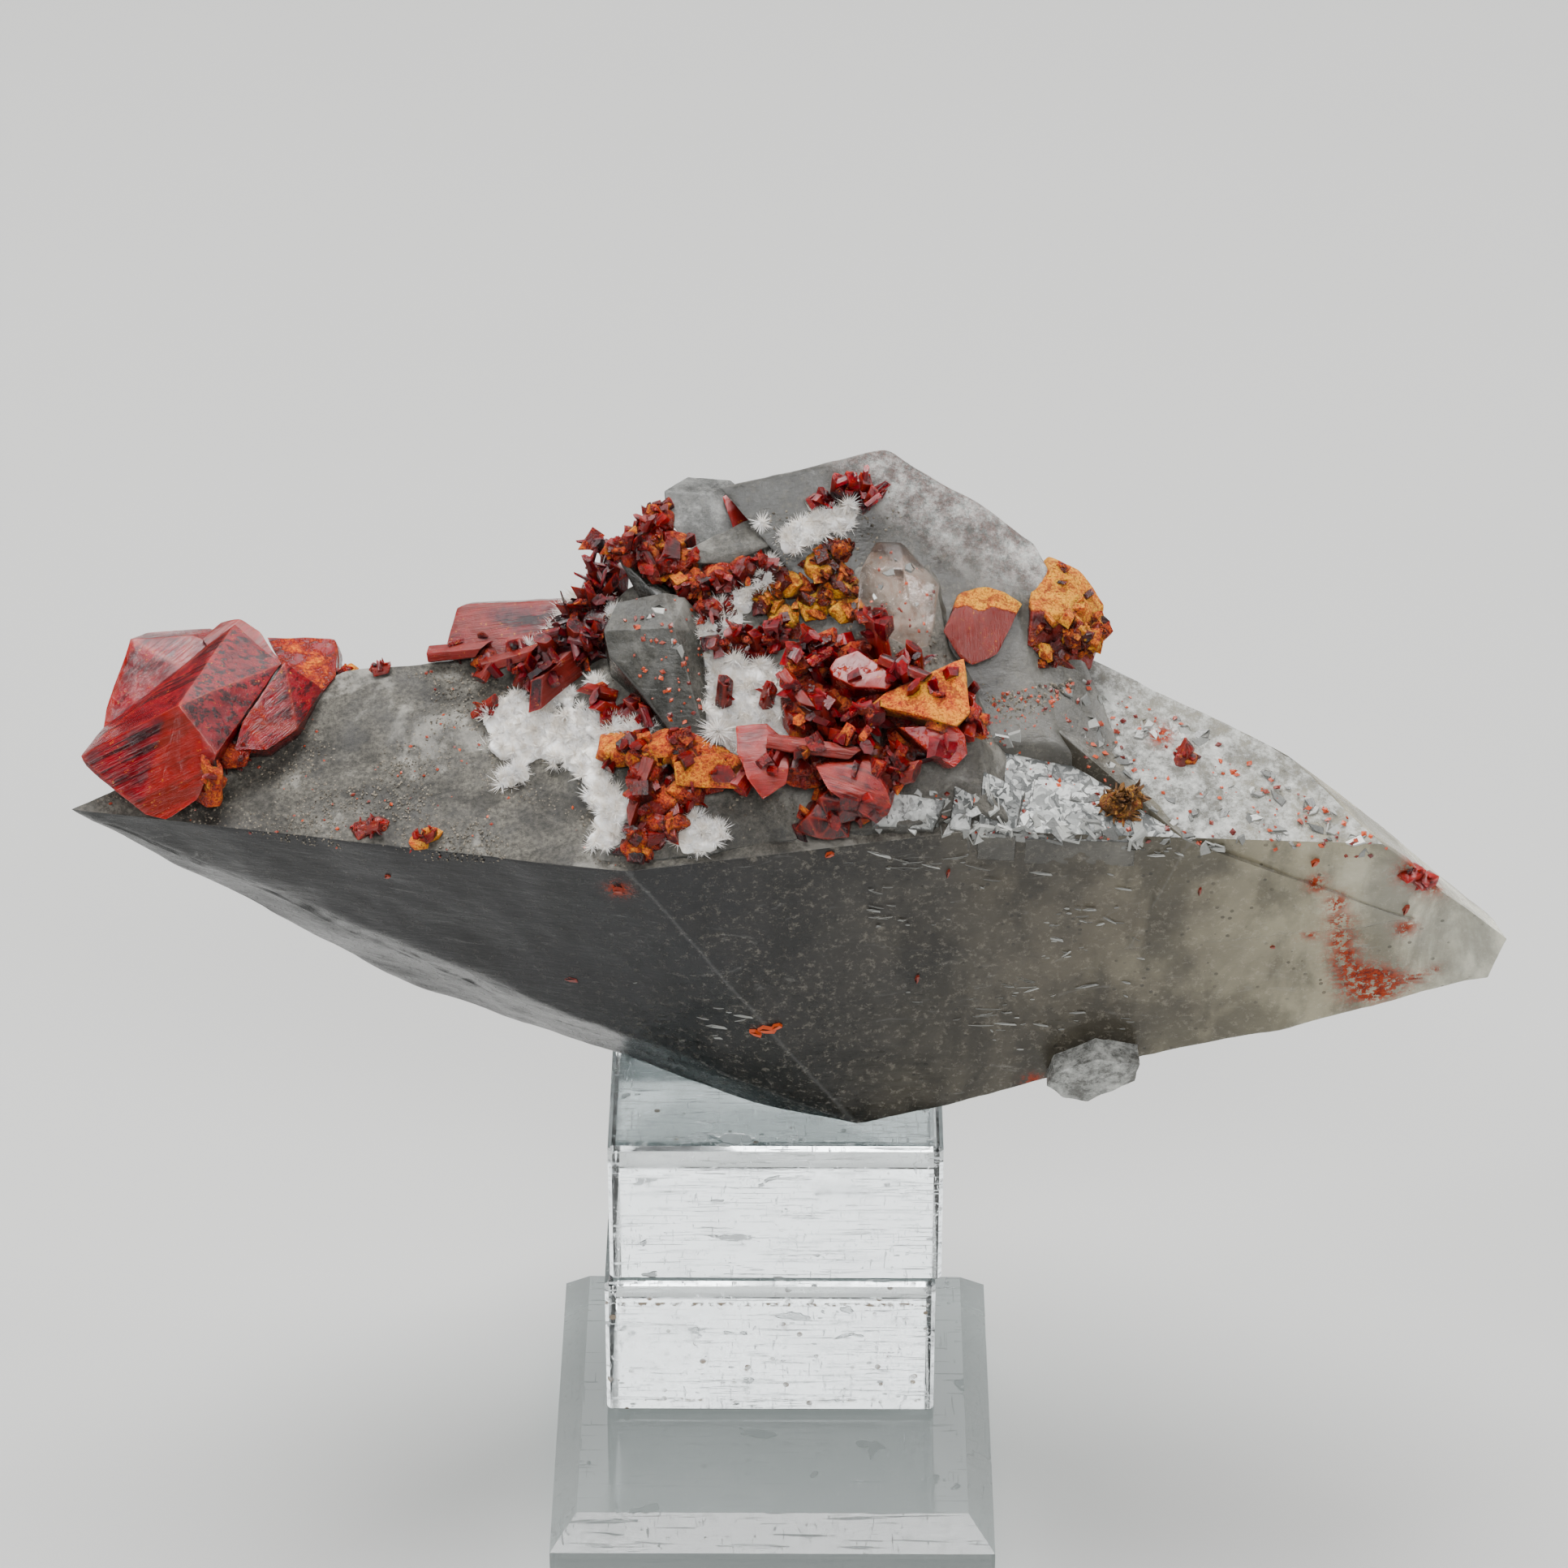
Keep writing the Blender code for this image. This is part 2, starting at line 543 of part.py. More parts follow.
def lens_group():
    """Crystals of the right middle: lens, plates, wedge and prisms."""
    lens = corners_on([(1022, 823, 4.6), (1030, 811, 4.4), (1057, 801, 4.2), (1080, 818, 4.6),
                       (1109, 833, 4.6), (1093, 848, 5.0), (1052, 846, 5.2), (1027, 833, 5.0)])
    plate = corners_on([(1073, 868, 5.0), (1093, 852, 4.6), (1128, 836, 4.4), (1160, 822, 4.4),
                        (1188, 810, 4.2), (1189, 848, 4.6), (1196, 878, 4.6), (1178, 895, 5.0),
                        (1126, 880, 5.4)])
    wedge = corners_on([(1109, 896, 4.6), (1179, 893, 4.4), (1190, 906, 4.4), (1193, 929, 4.2),
                        (1176, 946, 4.4), (1140, 922, 4.8)])
    crystals = [
        ((1084, 812, 4.2), (1143, 836, 4.4), 1.3, 1.6, 10, 0.1),
        ((1086, 808, 1.4), (1078, 760, 4.0), 2.2, 2.0, 20, 0.5),
        ((966, 828, 4.4), (1001, 874, 5.6), 1.0, 1.1, 15, 0.3),
        ((992, 900, 3.6), (980, 878, 4.6), 1.2, 1.1, 20),
        ((1022, 902, 3.8), (1010, 860, 5.6), 2.0, 1.8, 20, 0.3),
        ((1042, 886, 3.8), (1064, 868, 5.0), 1.4, 1.2, 10, 0.3),
        ((1024, 902, 4.4), (1064, 912, 4.8), 1.1, 1.3, 15), ((985, 830, 1.6), (978, 796, 4.2), 1.7, 1.4, 25),
        ((1005, 832, 1.8), (1000, 778, 3.4), 2.2, 1.4, 15, 0.4),
        ((1030, 820, 1.6), (1010, 800, 4.0), 1.2, 1.2, 40),
        ((1130, 830, 2.0), (1126, 796, 3.8), 1.6, 1.4, 20, 0.4),
        ((1190, 910, 2.4), (1203, 868, 3.4), 1.8, 1.6, 10, 0.4),
        ((1060, 900, 3.0), (1088, 872, 4.6), 1.8, 1.2, 30),
    ]
    knobs = [
        ((1000, 850, 0.6), 3.0, 0.8, 51), ((990, 884, 1.4), 2.6, 0.9, 59), ((1035, 870, 0.8), 3.4, 0.8, 52),
        ((1080, 850, 0.8), 3.4, 0.8, 53), ((1120, 870, 0.8), 3.4, 0.8, 54), ((1160, 870, 0.6), 3.2, 0.8, 55),
        ((1120, 905, 0.4), 3.0, 0.8, 56), ((1060, 815, 0.4), 2.6, 0.8, 58),
    ]
    slabs = [stone_block(lens, (0, 1.6, -2.4)), stone_block(plate, (-0.5, 2.6, -2.6)),
             stone_block(wedge, (-0.8, 2.6, -1.8))]
    return slabs + columns(crystals) + lumps(knobs)


def front_group():
    """Front band, red blocks and the dark lump that lean out over the front ridge."""
    band_top = [(765, 925), (790, 925), (820, 920), (845, 925), (868, 935), (890, 945)]
    cube = corners_on([(907, 927, 5.0), (945, 923, 4.8), (972, 946, 5.0), (969, 967, 4.6), (939, 986, 4.2),
                       (920, 958, 5.0)])
    gem = corners_on([(1005, 944, 5.6), (1040, 936, 5.0), (1071, 936, 5.2), (1094, 976, 5.6),
                      (1098, 993, 5.2), (1072, 1010, 5.0), (1055, 978, 6.2), (1020, 974, 6.0)])
    ledge = corners_on([(830, 940, 3.4), (886, 926, 3.4), (922, 972, 3.0), (870, 972, 3.0), (832, 968, 2.6),
                        (850, 930, -1), (900, 960, -1)])
    crystals = [
        ((802, 935, 2.6), (774, 1013, 1.7), 1.1, 1.4, 20),
        ((946, 914, 4.6), (1058, 930, 5.0), 1.6, 1.8, 10, 0.15),
        ((1080, 962, 3.2), (1130, 950, 4.2), 2.2, 1.8, 20, 0.3),
        ((1110, 952, 2.6), (1104, 916, 4.0), 1.6, 1.4, 30, 0.4),
        ((825, 1000, 0.6), (828, 1034, 1.6), 1.1, 1.1, 15),
    ]
    knobs = [
        ((800, 950, 1.0), 2.2, 0.8, 86), ((1018, 1008, 1.2), 2.7, 0.9, 71), ((1035, 985, 2.0), 2.8, 0.9, 73),
        ((1070, 985, 1.6), 2.4, 0.9, 74), ((950, 940, 1.8), 2.6, 0.8, 75), ((985, 945, 2.2), 2.7, 0.8, 76),
        ((1020, 935, 2.4), 2.8, 0.8, 77), ((1060, 935, 2.2), 2.8, 0.8, 78), ((1095, 945, 1.2), 2.4, 0.8, 79),
        ((820, 985, 0.6), 2.3, 0.8, 81), ((808, 1010, 0.5), 2.0, 0.8, 82), ((792, 1030, 0.4), 1.9, 0.8, 83),
        ((780, 1046, 0.3), 1.6, 0.8, 84), ((845, 975, 0.8), 2.1, 0.8, 85),
    ]
    band = [lump(seen(px, py, 1.2), 2.3, 0.75, 60 + number) for number, (px, py) in enumerate(band_top)]
    blocks = [stone_block(cube, (0, 2.6, 1.0)), stone_block(gem, (0, 3.0, -0.4)), hull(ledge)]
    return band + blocks + columns(crystals) + lumps(knobs)


def row_group():
    """Small dark crystals on the white crust right of the smoky prism."""
    knobs = [
        ((905, 792, -0.6), 2.2, 0.6, 91), ((930, 800, -0.6), 2.0, 0.6, 92), ((952, 788, -0.6), 1.9, 0.6, 93),
    ]
    crystals = [
        ((900, 800, 0.2), (876, 792, 2.6), 1.5, 0.9, 30), ((915, 790, 0.2), (900, 776, 2.4), 1.8, 0.8, 15),
        ((935, 800, 0.2), (930, 780, 2.4), 1.2, 1.0, 35), ((950, 800, 0.2), (958, 778, 2.4), 1.1, 1.0, 15),
        ((962, 790, 0.2), (948, 768, 2.2), 1.1, 1.0, 45),
    ]
    return lumps(knobs) + columns(crystals)


def right_groups():
    """Two big powder-topped crystals on the upper crystal's right foot, a node each."""
    left = corners_at([(1162, 778, 2.6), (1179, 736, 5.4), (1209, 722, 6.8), (1229, 722, 7.0),
                       (1259, 747, 5.6), (1246, 774, 3.6), (1229, 806, 1.6), (1198, 820, 0.8),
                       (1184, 812, 1.2), (1240, 748, 5.0), (1182, 750, 4.2)])
    right = corners_at([(1268, 720, 8.2), (1301, 691, 10.6), (1338, 709, 10.6), (1361, 746, 9.4),
                        (1348, 776, 7.4), (1344, 825, 5.4), (1328, 823, 4.8), (1266, 796, 3.8),
                        (1270, 752, 5.2), (1320, 760, 6.0)])
    low = corners_at([(1272, 800, 3.6), (1300, 804, 3.8), (1332, 828, 4.6), (1290, 822, 3.8), (1276, 775, 6),
                      (1330, 800, 9)])
    ribs = [
        ((1322, 806, 5.0), (1330, 762, 6.4), 1.3, 1.4, 15),
        ((1340, 806, 5.8), (1356, 765, 7.8), 1.3, 1.6, 15),
    ]
    return {
        "realgar_right_low": [stone_block(left, (0.5, 3.5, -1.0))],
        "realgar_right_high": [stone_block(right, (-0.5, 3.5, -1.5)), hull(low)]
        + [prism(at(*foot), at(*tip), *rest) for foot, tip, *rest in ribs],
    }


def top_group():
    """Small red crystals at the upper crystal's face."""
    knobs = [((1058, 608, -0.5), 1.9, 0.8, 101), ((1035, 615, -0.5), 1.6, 0.7, 102)]
    crystals = [
        ((1032, 612, 0.2), (1034, 590, 2.0), 1.5, 1.2, 10),
        ((1050, 610, 0.2), (1051, 588, 2.4), 1.2, 1.2, 20),
        ((1062, 612, 0.2), (1068, 590, 2.6), 1.2, 1.2, 30),
        ((1066, 622, 0.2), (1076, 606, 2.4), 1.0, 1.0, 15),
        ((1022, 622, 0.0), (1004, 612, 1.8), 0.9, 0.9, 15),
    ]
    return lumps(knobs) + columns(crystals)


def garnet_red():
    """Deep red crystal between the pale blade and the upper crystal."""
    corners = corners_at([(889, 612, 14.2), (905, 604, 14.6), (931, 622, 13.6), (922, 645, 12.2),
                          (905, 657, 11.6), (896, 630, 13)])
    root = at(915, 670, 12.5)
    return [hull(corners + shifted(corners, (0.5, 3.5, -2.0)) + [root])]


def scatter_groups():
    """Single chips that lie apart from the clusters, each a node of its own."""
    crest_foot, crest_tip = corners_at([(458, 827, 11.4), (480, 822, 11.8)])
    left_knobs = [((448, 1021, 0.1), 1.3, 0.6, 111), ((464, 1016, 0.2), 1.2, 0.6, 112)]
    left_stub = [((445, 1024, 0.2), (470, 1016, 1.6), 0.9, 0.9, 15)]
    lower_knobs = [((516, 1037, 0.1), 1.1, 0.6, 113), ((531, 1028, 0.1), 1.2, 0.6, 114)]
    lower_stub = [((515, 1040, 0.1), (537, 1027, 1.2), 0.8, 0.8, 15)]
    shoulder_stub = [((1452, 945, -0.3), (1466, 915, 1.4), 1.6, 1.2, 15)]
    shoulder_knob = [((1462, 935, -0.2), 1.3, 0.6, 115)]
    ochre_knobs = [((1372, 990, 0.2), 1.7, 0.6, 116), ((1392, 986, 0.2), 1.8, 0.6, 117),
                   ((1383, 1000, 0.1), 1.4, 0.6, 118)]
    tip_knobs = [((1738, 1076, 0.0), 1.4, 0.5, 119), ((1757, 1083, 0.0), 1.5, 0.5, 120)]
    crust_crystal = [((892, 866, 0.8), (894, 838, 3.4), 1.7, 1.3, 30)]
    edge_crystal = [((586, 884, -0.5), (610, 864, 1.8), 1.4, 1.2, 20)]
    return {
        "crest_chip": [prism(crest_foot, crest_tip, 0.8, 2.0, 10)],
        "left_face_chips": lumps(left_knobs) + columns(left_stub),
        "lower_face_chips": lumps(lower_knobs) + columns(lower_stub),
        "shoulder_chips": columns(shoulder_stub) + lumps(shoulder_knob),
        "ochre_clump": lumps(ochre_knobs),
        "tip_patch": lumps(tip_knobs),
        "crust_crystal_left": columns(crust_crystal),
        "crust_edge_crystal": columns(edge_crystal),
    }


def crust(places, size, flat, first_seed, sink=0.4):
    """White crust: a chain of low knobs along the places seen on the ground."""
    return [lump(seen(px, py, -sink), size * (0.9 + 0.2 * (number % 3) / 2), flat, first_seed + number)
            for number, (px, py) in enumerate(places)]


def white_crusts():
    """The four white needle crusts, as low knobby bodies."""
    wide = [(612, 888), (638, 872), (640, 898), (665, 885), (668, 908), (625, 920), (652, 928), (690, 900),
            (692, 925), (715, 885), (718, 912), (722, 940), (742, 930), (742, 900), (762, 915), (768, 900),
            (740, 958), (748, 985), (752, 1010), (748, 1032), (765, 1000), (790, 905)]
    middle = [(884, 815), (890, 845), (882, 875), (892, 900), (905, 825), (915, 860), (912, 890), (935, 830),
              (940, 865), (935, 895), (958, 845), (960, 875), (970, 900), (905, 915)]
    strip = [(868, 785), (884, 770), (898, 754), (912, 742), (926, 722), (942, 706)]
    top = [(975, 672), (988, 662), (1003, 652), (1022, 644), (1040, 640)]
    low = [(842, 1022), (858, 1020), (866, 1036), (850, 1040), (878, 1026)]
    return {
        "white_crust_left": crust(wide, 1.9, 0.7, 200),
        "white_crust_middle": crust(middle, 1.8, 0.7, 230),
        "white_crust_strip": crust(strip, 1.55, 0.8, 260, 0.1),
        "white_crust_top": crust(top, 1.5, 0.8, 270, 0.1),
        "white_crust_low": crust(low, 1.5, 0.6, 290, 0.1),
    }


def solid(planes, grow=0.0):
    """Mesh object of one convex body, in mm."""
    shape = cleave(planes, grow)
    mesh = bpy.data.meshes.new("solid")
    shape.to_mesh(mesh)
    shape.free()
    made = bpy.data.objects.new("solid", mesh)
    bpy.context.scene.collection.objects.link(made)
    return made


def carve(target, planes, operation, grow=0.0):
    """Add or cut one convex body with an exact Boolean and keep the result."""
    tool = solid(planes, grow)
    step = target.modifiers.new("carve", "BOOLEAN")
    step.operation = operation
    step.solver = "EXACT"
    step.object = tool
    result = bpy.data.meshes.new_from_object(target.evaluated_get(bpy.context.evaluated_depsgraph_get()))
    target.modifiers.clear()
    target.data = result
    bpy.data.objects.remove(tool, do_unlink=True)


def reach(planes):
    """Lowest and highest corner of a convex body."""
    shape = cleave(planes)
    low = Vector([min(v.co[k] for v in shape.verts) for k in range(3)])
    high = Vector([max(v.co[k] for v in shape.verts) for k in range(3)])
    shape.free()
    return low, high


def meets(first, second, slack=1.0):
    """True where two boxes come within `slack` mm."""
    return all(first[0][k] - slack < second[1][k] and second[0][k] - slack < first[1][k] for k in range(3))


def keep_largest(shape):
    """Delete every loose piece of a bmesh but the biggest."""
    left = set(shape.verts)
    islands = []
    while left:
        island = {left.pop()}
        front = list(island)
        while front:
            vert = front.pop()
            for edge in vert.link_edges:
                other = edge.other_vert(vert)
                if other in left:
                    left.discard(other)
                    island.add(other)
                    front.append(other)
        islands.append(island)
    islands.sort(key=len, reverse=True)
    for island in islands[1:]:
        bmesh.ops.delete(shape, geom=list(island), context="VERTS")


def material(name, colour, roughness, alpha=1.0):
    """Principled material of one finish."""
    made = bpy.data.materials.new(name)
    made.use_nodes = True
    shader = made.node_tree.nodes["Principled BSDF"]
    shader.inputs["Base Color"].default_value = (*colour, 1.0)
    shader.inputs["Roughness"].default_value = roughness
    shader.inputs["Metallic"].default_value = 0.0
    shader.inputs["Alpha"].default_value = alpha
    made.diffuse_color = (*colour, alpha)
    return made


def finish_node(made, name, finish):
    """Clean the mesh, bring it to metres and give it its name and material."""
    shape = bmesh.new()
    shape.from_mesh(made.data)
    bmesh.ops.remove_doubles(shape, verts=shape.verts, dist=WELD)
    bmesh.ops.dissolve_degenerate(shape, edges=shape.edges, dist=WELD / 2)
    keep_largest(shape)
    bmesh.ops.triangulate(shape, faces=shape.faces)
    bmesh.ops.transform(shape, matrix=Matrix.Scale(MM, 4), verts=shape.verts)
    shape.to_mesh(made.data)
    shape.free()
    made.name = name
    made.data.name = name
    made.data.materials.clear()
    made.data.materials.append(finish)
    for polygon in made.data.polygons:
        polygon.use_smooth = False


def grow_node(name, bodies, standing, finish, hollows=()):
    """One node: its bodies joined, then cut clear of everything already standing."""
    made = solid(bodies[0])
    for planes in bodies[1:]:
        carve(made, planes, "UNION")
    boxes = [reach(planes) for planes in bodies]
    for planes, box in standing:
        if any(meets(box, own) for own in boxes):
            carve(made, planes, "DIFFERENCE", GAP)
    for planes in hollows:
        carve(made, planes, "DIFFERENCE")
    finish_node(made, name, finish)
    standing.extend(zip(bodies, boxes))


def block(name, shift, bottom, finish):
    """Square acrylic block with softened edges."""
    shape = bmesh.new()
    bmesh.ops.create_cube(shape, size=1.0)
    bmesh.ops.scale(shape, vec=(BLOCK_SIDE, BLOCK_SIDE, BLOCK_HEIGHT), verts=shape.verts)
    bmesh.ops.translate(shape, vec=(shift, BLOCK_BACK, bottom + BLOCK_HEIGHT / 2), verts=shape.verts)
    bmesh.ops.bevel(shape, geom=shape.edges[:], offset=BLOCK_EDGE, segments=1, affect="EDGES")
    mesh = bpy.data.meshes.new(name)
    shape.to_mesh(mesh)
    shape.free()
    made = bpy.data.objects.new(name, mesh)
    bpy.context.scene.collection.objects.link(made)
    finish_node(made, name, finish)


def base_plate(finish):
    """Square plate with a sloping bevel round its top."""
    half = PLATE_SIDE / 2
    top = half - PLATE_BEVEL_IN
    side_height = PLATE_HEIGHT - PLATE_BEVEL_DROP
    corners = []
    for x, y in ((-1, -1), (1, -1), (1, 1), (-1, 1)):
        corners += [Vector((x * half, y * half, 0)), Vector((x * half, y * half, side_height))]
        corners.append(Vector((x * top, y * top, PLATE_HEIGHT)))
    made = solid(hull(corners))
    finish_node(made, "base_plate", finish)


def main():
    clear_scene()
    acrylic = material("acrylic", (0.86, 0.88, 0.89), 0.06, 0.35)
    quartz = material("smoky_quartz", (0.30, 0.29, 0.26), 0.22)
    ruby = material("realgar_glassy", (0.42, 0.02, 0.02), 0.18)
    powder = material("realgar_powdered", (0.72, 0.16, 0.03), 0.55)
    ochre = material("ochre", (0.55, 0.33, 0.06), 0.8)
    white = material("white_needles", (0.90, 0.88, 0.82), 0.75)
    base_plate(acrylic)
    block("lower_block", LOWER_SHIFT, PLATE_HEIGHT + GAP, acrylic)
    block("upper_block", UPPER_SHIFT, PLATE_HEIGHT + BLOCK_HEIGHT + 2 * GAP, acrylic)
    standing = []
    grow_node("quartz", QUARTZ + small_quartz(), standing, quartz, notches())
    grow_node("realgar_left", left_group(), standing, ruby)
    grow_node("realgar_back", back_group(), standing, ruby)
    grow_node("realgar_middle", front_group() + lens_group(), standing, powder)
    crusts = white_crusts()
    for name in ("white_crust_strip", "white_crust_top"):
        grow_node(name, crusts.pop(name), standing, white)
    grow_node("realgar_patch", patch_group(), standing, powder)
    for name, bodies in right_groups().items():
        grow_node(name, bodies, standing, powder)
    grow_node("realgar_spiky", spiky_group(), standing, ruby)
    grow_node("realgar_ridge", orange_ridge(), standing, powder)
    grow_node("realgar_band", red_band(), standing, powder)
    grow_node("realgar_row", row_group(), standing, ruby)
    grow_node("realgar_chips", left_chips(), standing, ruby)
    grow_node("realgar_top", top_group(), standing, ruby)
    grow_node("realgar_deep", garnet_red(), standing, ruby)
    for name, bodies in scatter_groups().items():
        grow_node(name, bodies, standing, ochre if name == "ochre_clump" else ruby)
    for name, bodies in crusts.items():
        grow_node(name, bodies, standing, white)


main()
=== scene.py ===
"""Looks of the realgar specimen: red crystals and white needle mats on smoky quartz,
on a stand of clear acrylic blocks.

Shapes are worked out in millimetres as numpy arrays and put into the meshes in metres.
A crystal is a set of flat faces; each face is a fan of rings from its middle to its
rim, and wear and growth relief move the points by rules that depend on place alone.
"""
import math
import random

import bmesh
import bpy
import numpy as np
from mathutils import Matrix, Vector


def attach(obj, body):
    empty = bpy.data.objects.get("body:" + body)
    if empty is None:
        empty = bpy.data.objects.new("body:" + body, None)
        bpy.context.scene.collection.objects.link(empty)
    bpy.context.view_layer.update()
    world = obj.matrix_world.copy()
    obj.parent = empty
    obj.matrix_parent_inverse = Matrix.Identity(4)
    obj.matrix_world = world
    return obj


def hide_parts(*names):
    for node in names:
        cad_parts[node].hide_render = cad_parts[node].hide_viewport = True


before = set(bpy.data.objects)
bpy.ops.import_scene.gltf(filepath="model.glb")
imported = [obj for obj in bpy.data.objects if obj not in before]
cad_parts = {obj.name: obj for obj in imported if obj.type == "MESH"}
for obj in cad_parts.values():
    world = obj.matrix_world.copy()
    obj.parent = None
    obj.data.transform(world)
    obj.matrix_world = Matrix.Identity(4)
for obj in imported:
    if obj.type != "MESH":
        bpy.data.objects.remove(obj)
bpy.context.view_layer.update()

MM = 0.001

# Eye of the front view, mm and radians; a crystal's corner is named by where it is seen
EYE = np.array([2.62, -401.9, 325.5])
EYE_DOWN = math.radians(31.82)
EYE_TURN = -0.0042
EYE_ROLL = -0.0004
EYE_SCALE = 6764.0
EYE_MIDDLE = 966.0
PICTURE_SIDE = 1932
SENSOR = 36.0

# Heights and corners of the quartz, mm, as in the solids
SEAT = 40.3
LEFT_TIP = np.array([-60.8, 0.0, 73.3])
FRONT_KNEE = np.array([-12.5, -10.0, 73.5])
RIDGE_END = np.array([58.3, -3.0, 66.9])
FOOT = np.array([7.4, -0.4, SEAT])
FOOT_LEFT = np.array([-3.9, 2.6, SEAT])
FOOT_BACK = np.array([4.0, 22.0, SEAT])
BELLY = np.array([-34.0, 8.0, 50.6])
TIP_LOW = np.array([62.8, 0.5, 56.3])
TIP = np.array([64.1, 0.0, 60.9])
TIP_TOP = np.array([60.3, 3.0, 63.5])
CREST_LEFT = np.array([-37.6, 11.7, 80.3])
CREST_RIGHT = np.array([-24.4, 12.4, 81.8])
CREST_MIDDLE = np.array([-31.0, 12.0, 81.0])
REAR_RIDGE = np.array([2.0, 36.0, 64.0])
TERRACE_FRONT = np.array([12.0, -10.5, 76.6])
TERRACE_KINK = np.array([37.1, -9.0, 73.7])
TERRACE_BACK = np.array([22.0, 0.0, 79.9])
RIM_BACK = np.array([27.8, 11.0, 79.9])
CORE = np.array([4.0, 12.0, 62.0])
CRACK_TOP = np.array([21.6, 1.5, 80.2])
CRACK_LOW = np.array([36.5, -7.5, 74.0])
RIM_LEFT = np.array([27.8, 11.0, 81.1])
RIM_MIDDLE = np.array([43.0, 8.6, 74.3])
RIM_RIGHT = np.array([58.4, 5.0, 63.4])
SHOULDER_CORE = np.array([40.0, 8.0, 66.0])
GROWTH_STEP = 0.25
APEX = np.array([9.7, 14.0, 101.4])
UPPER_LEFT = np.array([-3.9, 14.0, 97.2])
UPPER_RIGHT = np.array([24.0, 14.0, 90.4])
UPPER_CORE = np.array([12.0, 15.0, 90.0])
CREST_BACK = 11.3
CREST_ROW = 760
CREST_LEAN = 0.075


# Small limits (mm or without a unit) and numbers that are used again
FLAT_TRIPLE = 1e-3        # three planes below this don't meet in one point
ON_PLANE = 1e-6           # slack of a corner that lies on a plane
SHORT_SIDE = 1e-5         # shortest side of a face
NO_SLOPE = 1e-9           # stands for zero where a number is divided by it
RIM_SLOPE = np.array([1.0, 4.0, -6.0])    # way down the faces behind the shoulder's rim
QUARTZ_IOR = 1.54
LEDGE_LOW, LEDGE_HIGH = 2.6, 2.2          # ledge in the acrylic, below its top


def unit(vector):
    """The vector or vectors, scaled to length one."""
    vector = np.asarray(vector, float)
    return vector / np.linalg.norm(vector, axis=-1, keepdims=True)


def turned(vectors, axis, angle):
    """Vectors turned about an axis: v cos a + (k x v) sin a + k (k.v)(1 - cos a)."""
    along = (vectors @ axis)[..., None] * axis
    return vectors * math.cos(angle) + np.cross(axis,
                                                vectors) * math.sin(angle) + along * (1 - math.cos(angle))


def eye_axes():
    """Right, up and forward directions of the front view."""
    forward = np.array([math.sin(EYE_TURN) * math.cos(EYE_DOWN),
                        math.cos(EYE_TURN) * math.cos(EYE_DOWN), -math.sin(EYE_DOWN)])
    right = np.array([math.cos(EYE_TURN), -math.sin(EYE_TURN), 0.0])
    up = np.cross(right, forward)
    return turned(right, forward, EYE_ROLL), turned(up, forward, EYE_ROLL), forward


EYE_RIGHT, EYE_UP, EYE_FORWARD = eye_axes()


def ray(px, py):
    """Direction of the sight line through (px, py), one unit long along +Y."""
    line = EYE_FORWARD + EYE_RIGHT * ((px - EYE_MIDDLE) / EYE_SCALE) - EYE_UP * ((py - EYE_MIDDLE) / EYE_SCALE)
    return line / line[1]


def at(px, py, back):
    """Point seen at (px, py) that lies `back` mm behind the plate's middle."""
    return EYE + ray(px, py) * (back - EYE[1])


def face(p, q, r, inside):
    """Plane (normal, offset) through three corners, facing away from `inside`."""
    normal = unit(np.cross(q - p, r - p))
    if normal @ (inside - p) > 0:
        normal = -normal
    return normal, normal @ p


def facing(normal, point):
    """Plane through a point with the given outward direction."""
    normal = unit(normal)
    return normal, normal @ np.asarray(point, float)


def moved(plane, step):
    """The same plane, `step` mm further out."""
    return plane[0], plane[1] + step


def below(point, drop=5.0):
    """Point straight under another one."""
    return point - np.array([0, 0, drop])


FRONT_LEFT_FACE = face(LEFT_TIP, FRONT_KNEE, FOOT, CORE)
FRONT_RIGHT_FACE = face(FRONT_KNEE, RIDGE_END, FOOT, CORE)
TOP_LEFT_FACE = face(LEFT_TIP, FRONT_KNEE, CREST_MIDDLE, CORE)
TERRACE = face(TERRACE_FRONT, TERRACE_KINK, TERRACE_BACK, CORE)
SHOULDER_TOP = face(RIM_LEFT, RIM_RIGHT, CRACK_LOW, SHOULDER_CORE)
REAR_RIGHT_FACE = face(TIP_TOP, RIM_BACK, REAR_RIDGE, CORE)
UNDER_RIGHT_FACE = face(TIP_LOW, FOOT_BACK, REAR_RIDGE, CORE)


def right_end():
    """Faces that close the right tip."""
    return [
        face(TIP, TIP_LOW, np.array([62, 8, 58]), CORE),
        face(TIP_TOP, TIP, np.array([60, 9, 62]), CORE),
        face(FOOT, TIP_LOW, FOOT_BACK, CORE),
    ]


def main_crystal():
    """Faces of the double-ended crystal, without its raised right shoulder."""
    return [
        FRONT_LEFT_FACE,
        FRONT_RIGHT_FACE,
        TOP_LEFT_FACE,
        TERRACE,
        face(LEFT_TIP, FOOT, BELLY, CORE),
        facing((0, 0, -1), (0, 0, SEAT)),
        face(CREST_LEFT, LEFT_TIP, np.array([-25, 26, 62]), CORE),
        face(CREST_LEFT, CREST_RIGHT, REAR_RIDGE, CORE),
        REAR_RIGHT_FACE,
        face(LEFT_TIP, BELLY, np.array([-24, 28, 58]), CORE),
        face(BELLY, FOOT_LEFT, FOOT_BACK, CORE),
        UNDER_RIGHT_FACE,
        facing((0, 1, -0.1), (0, 34, 62)),
    ] + right_end()


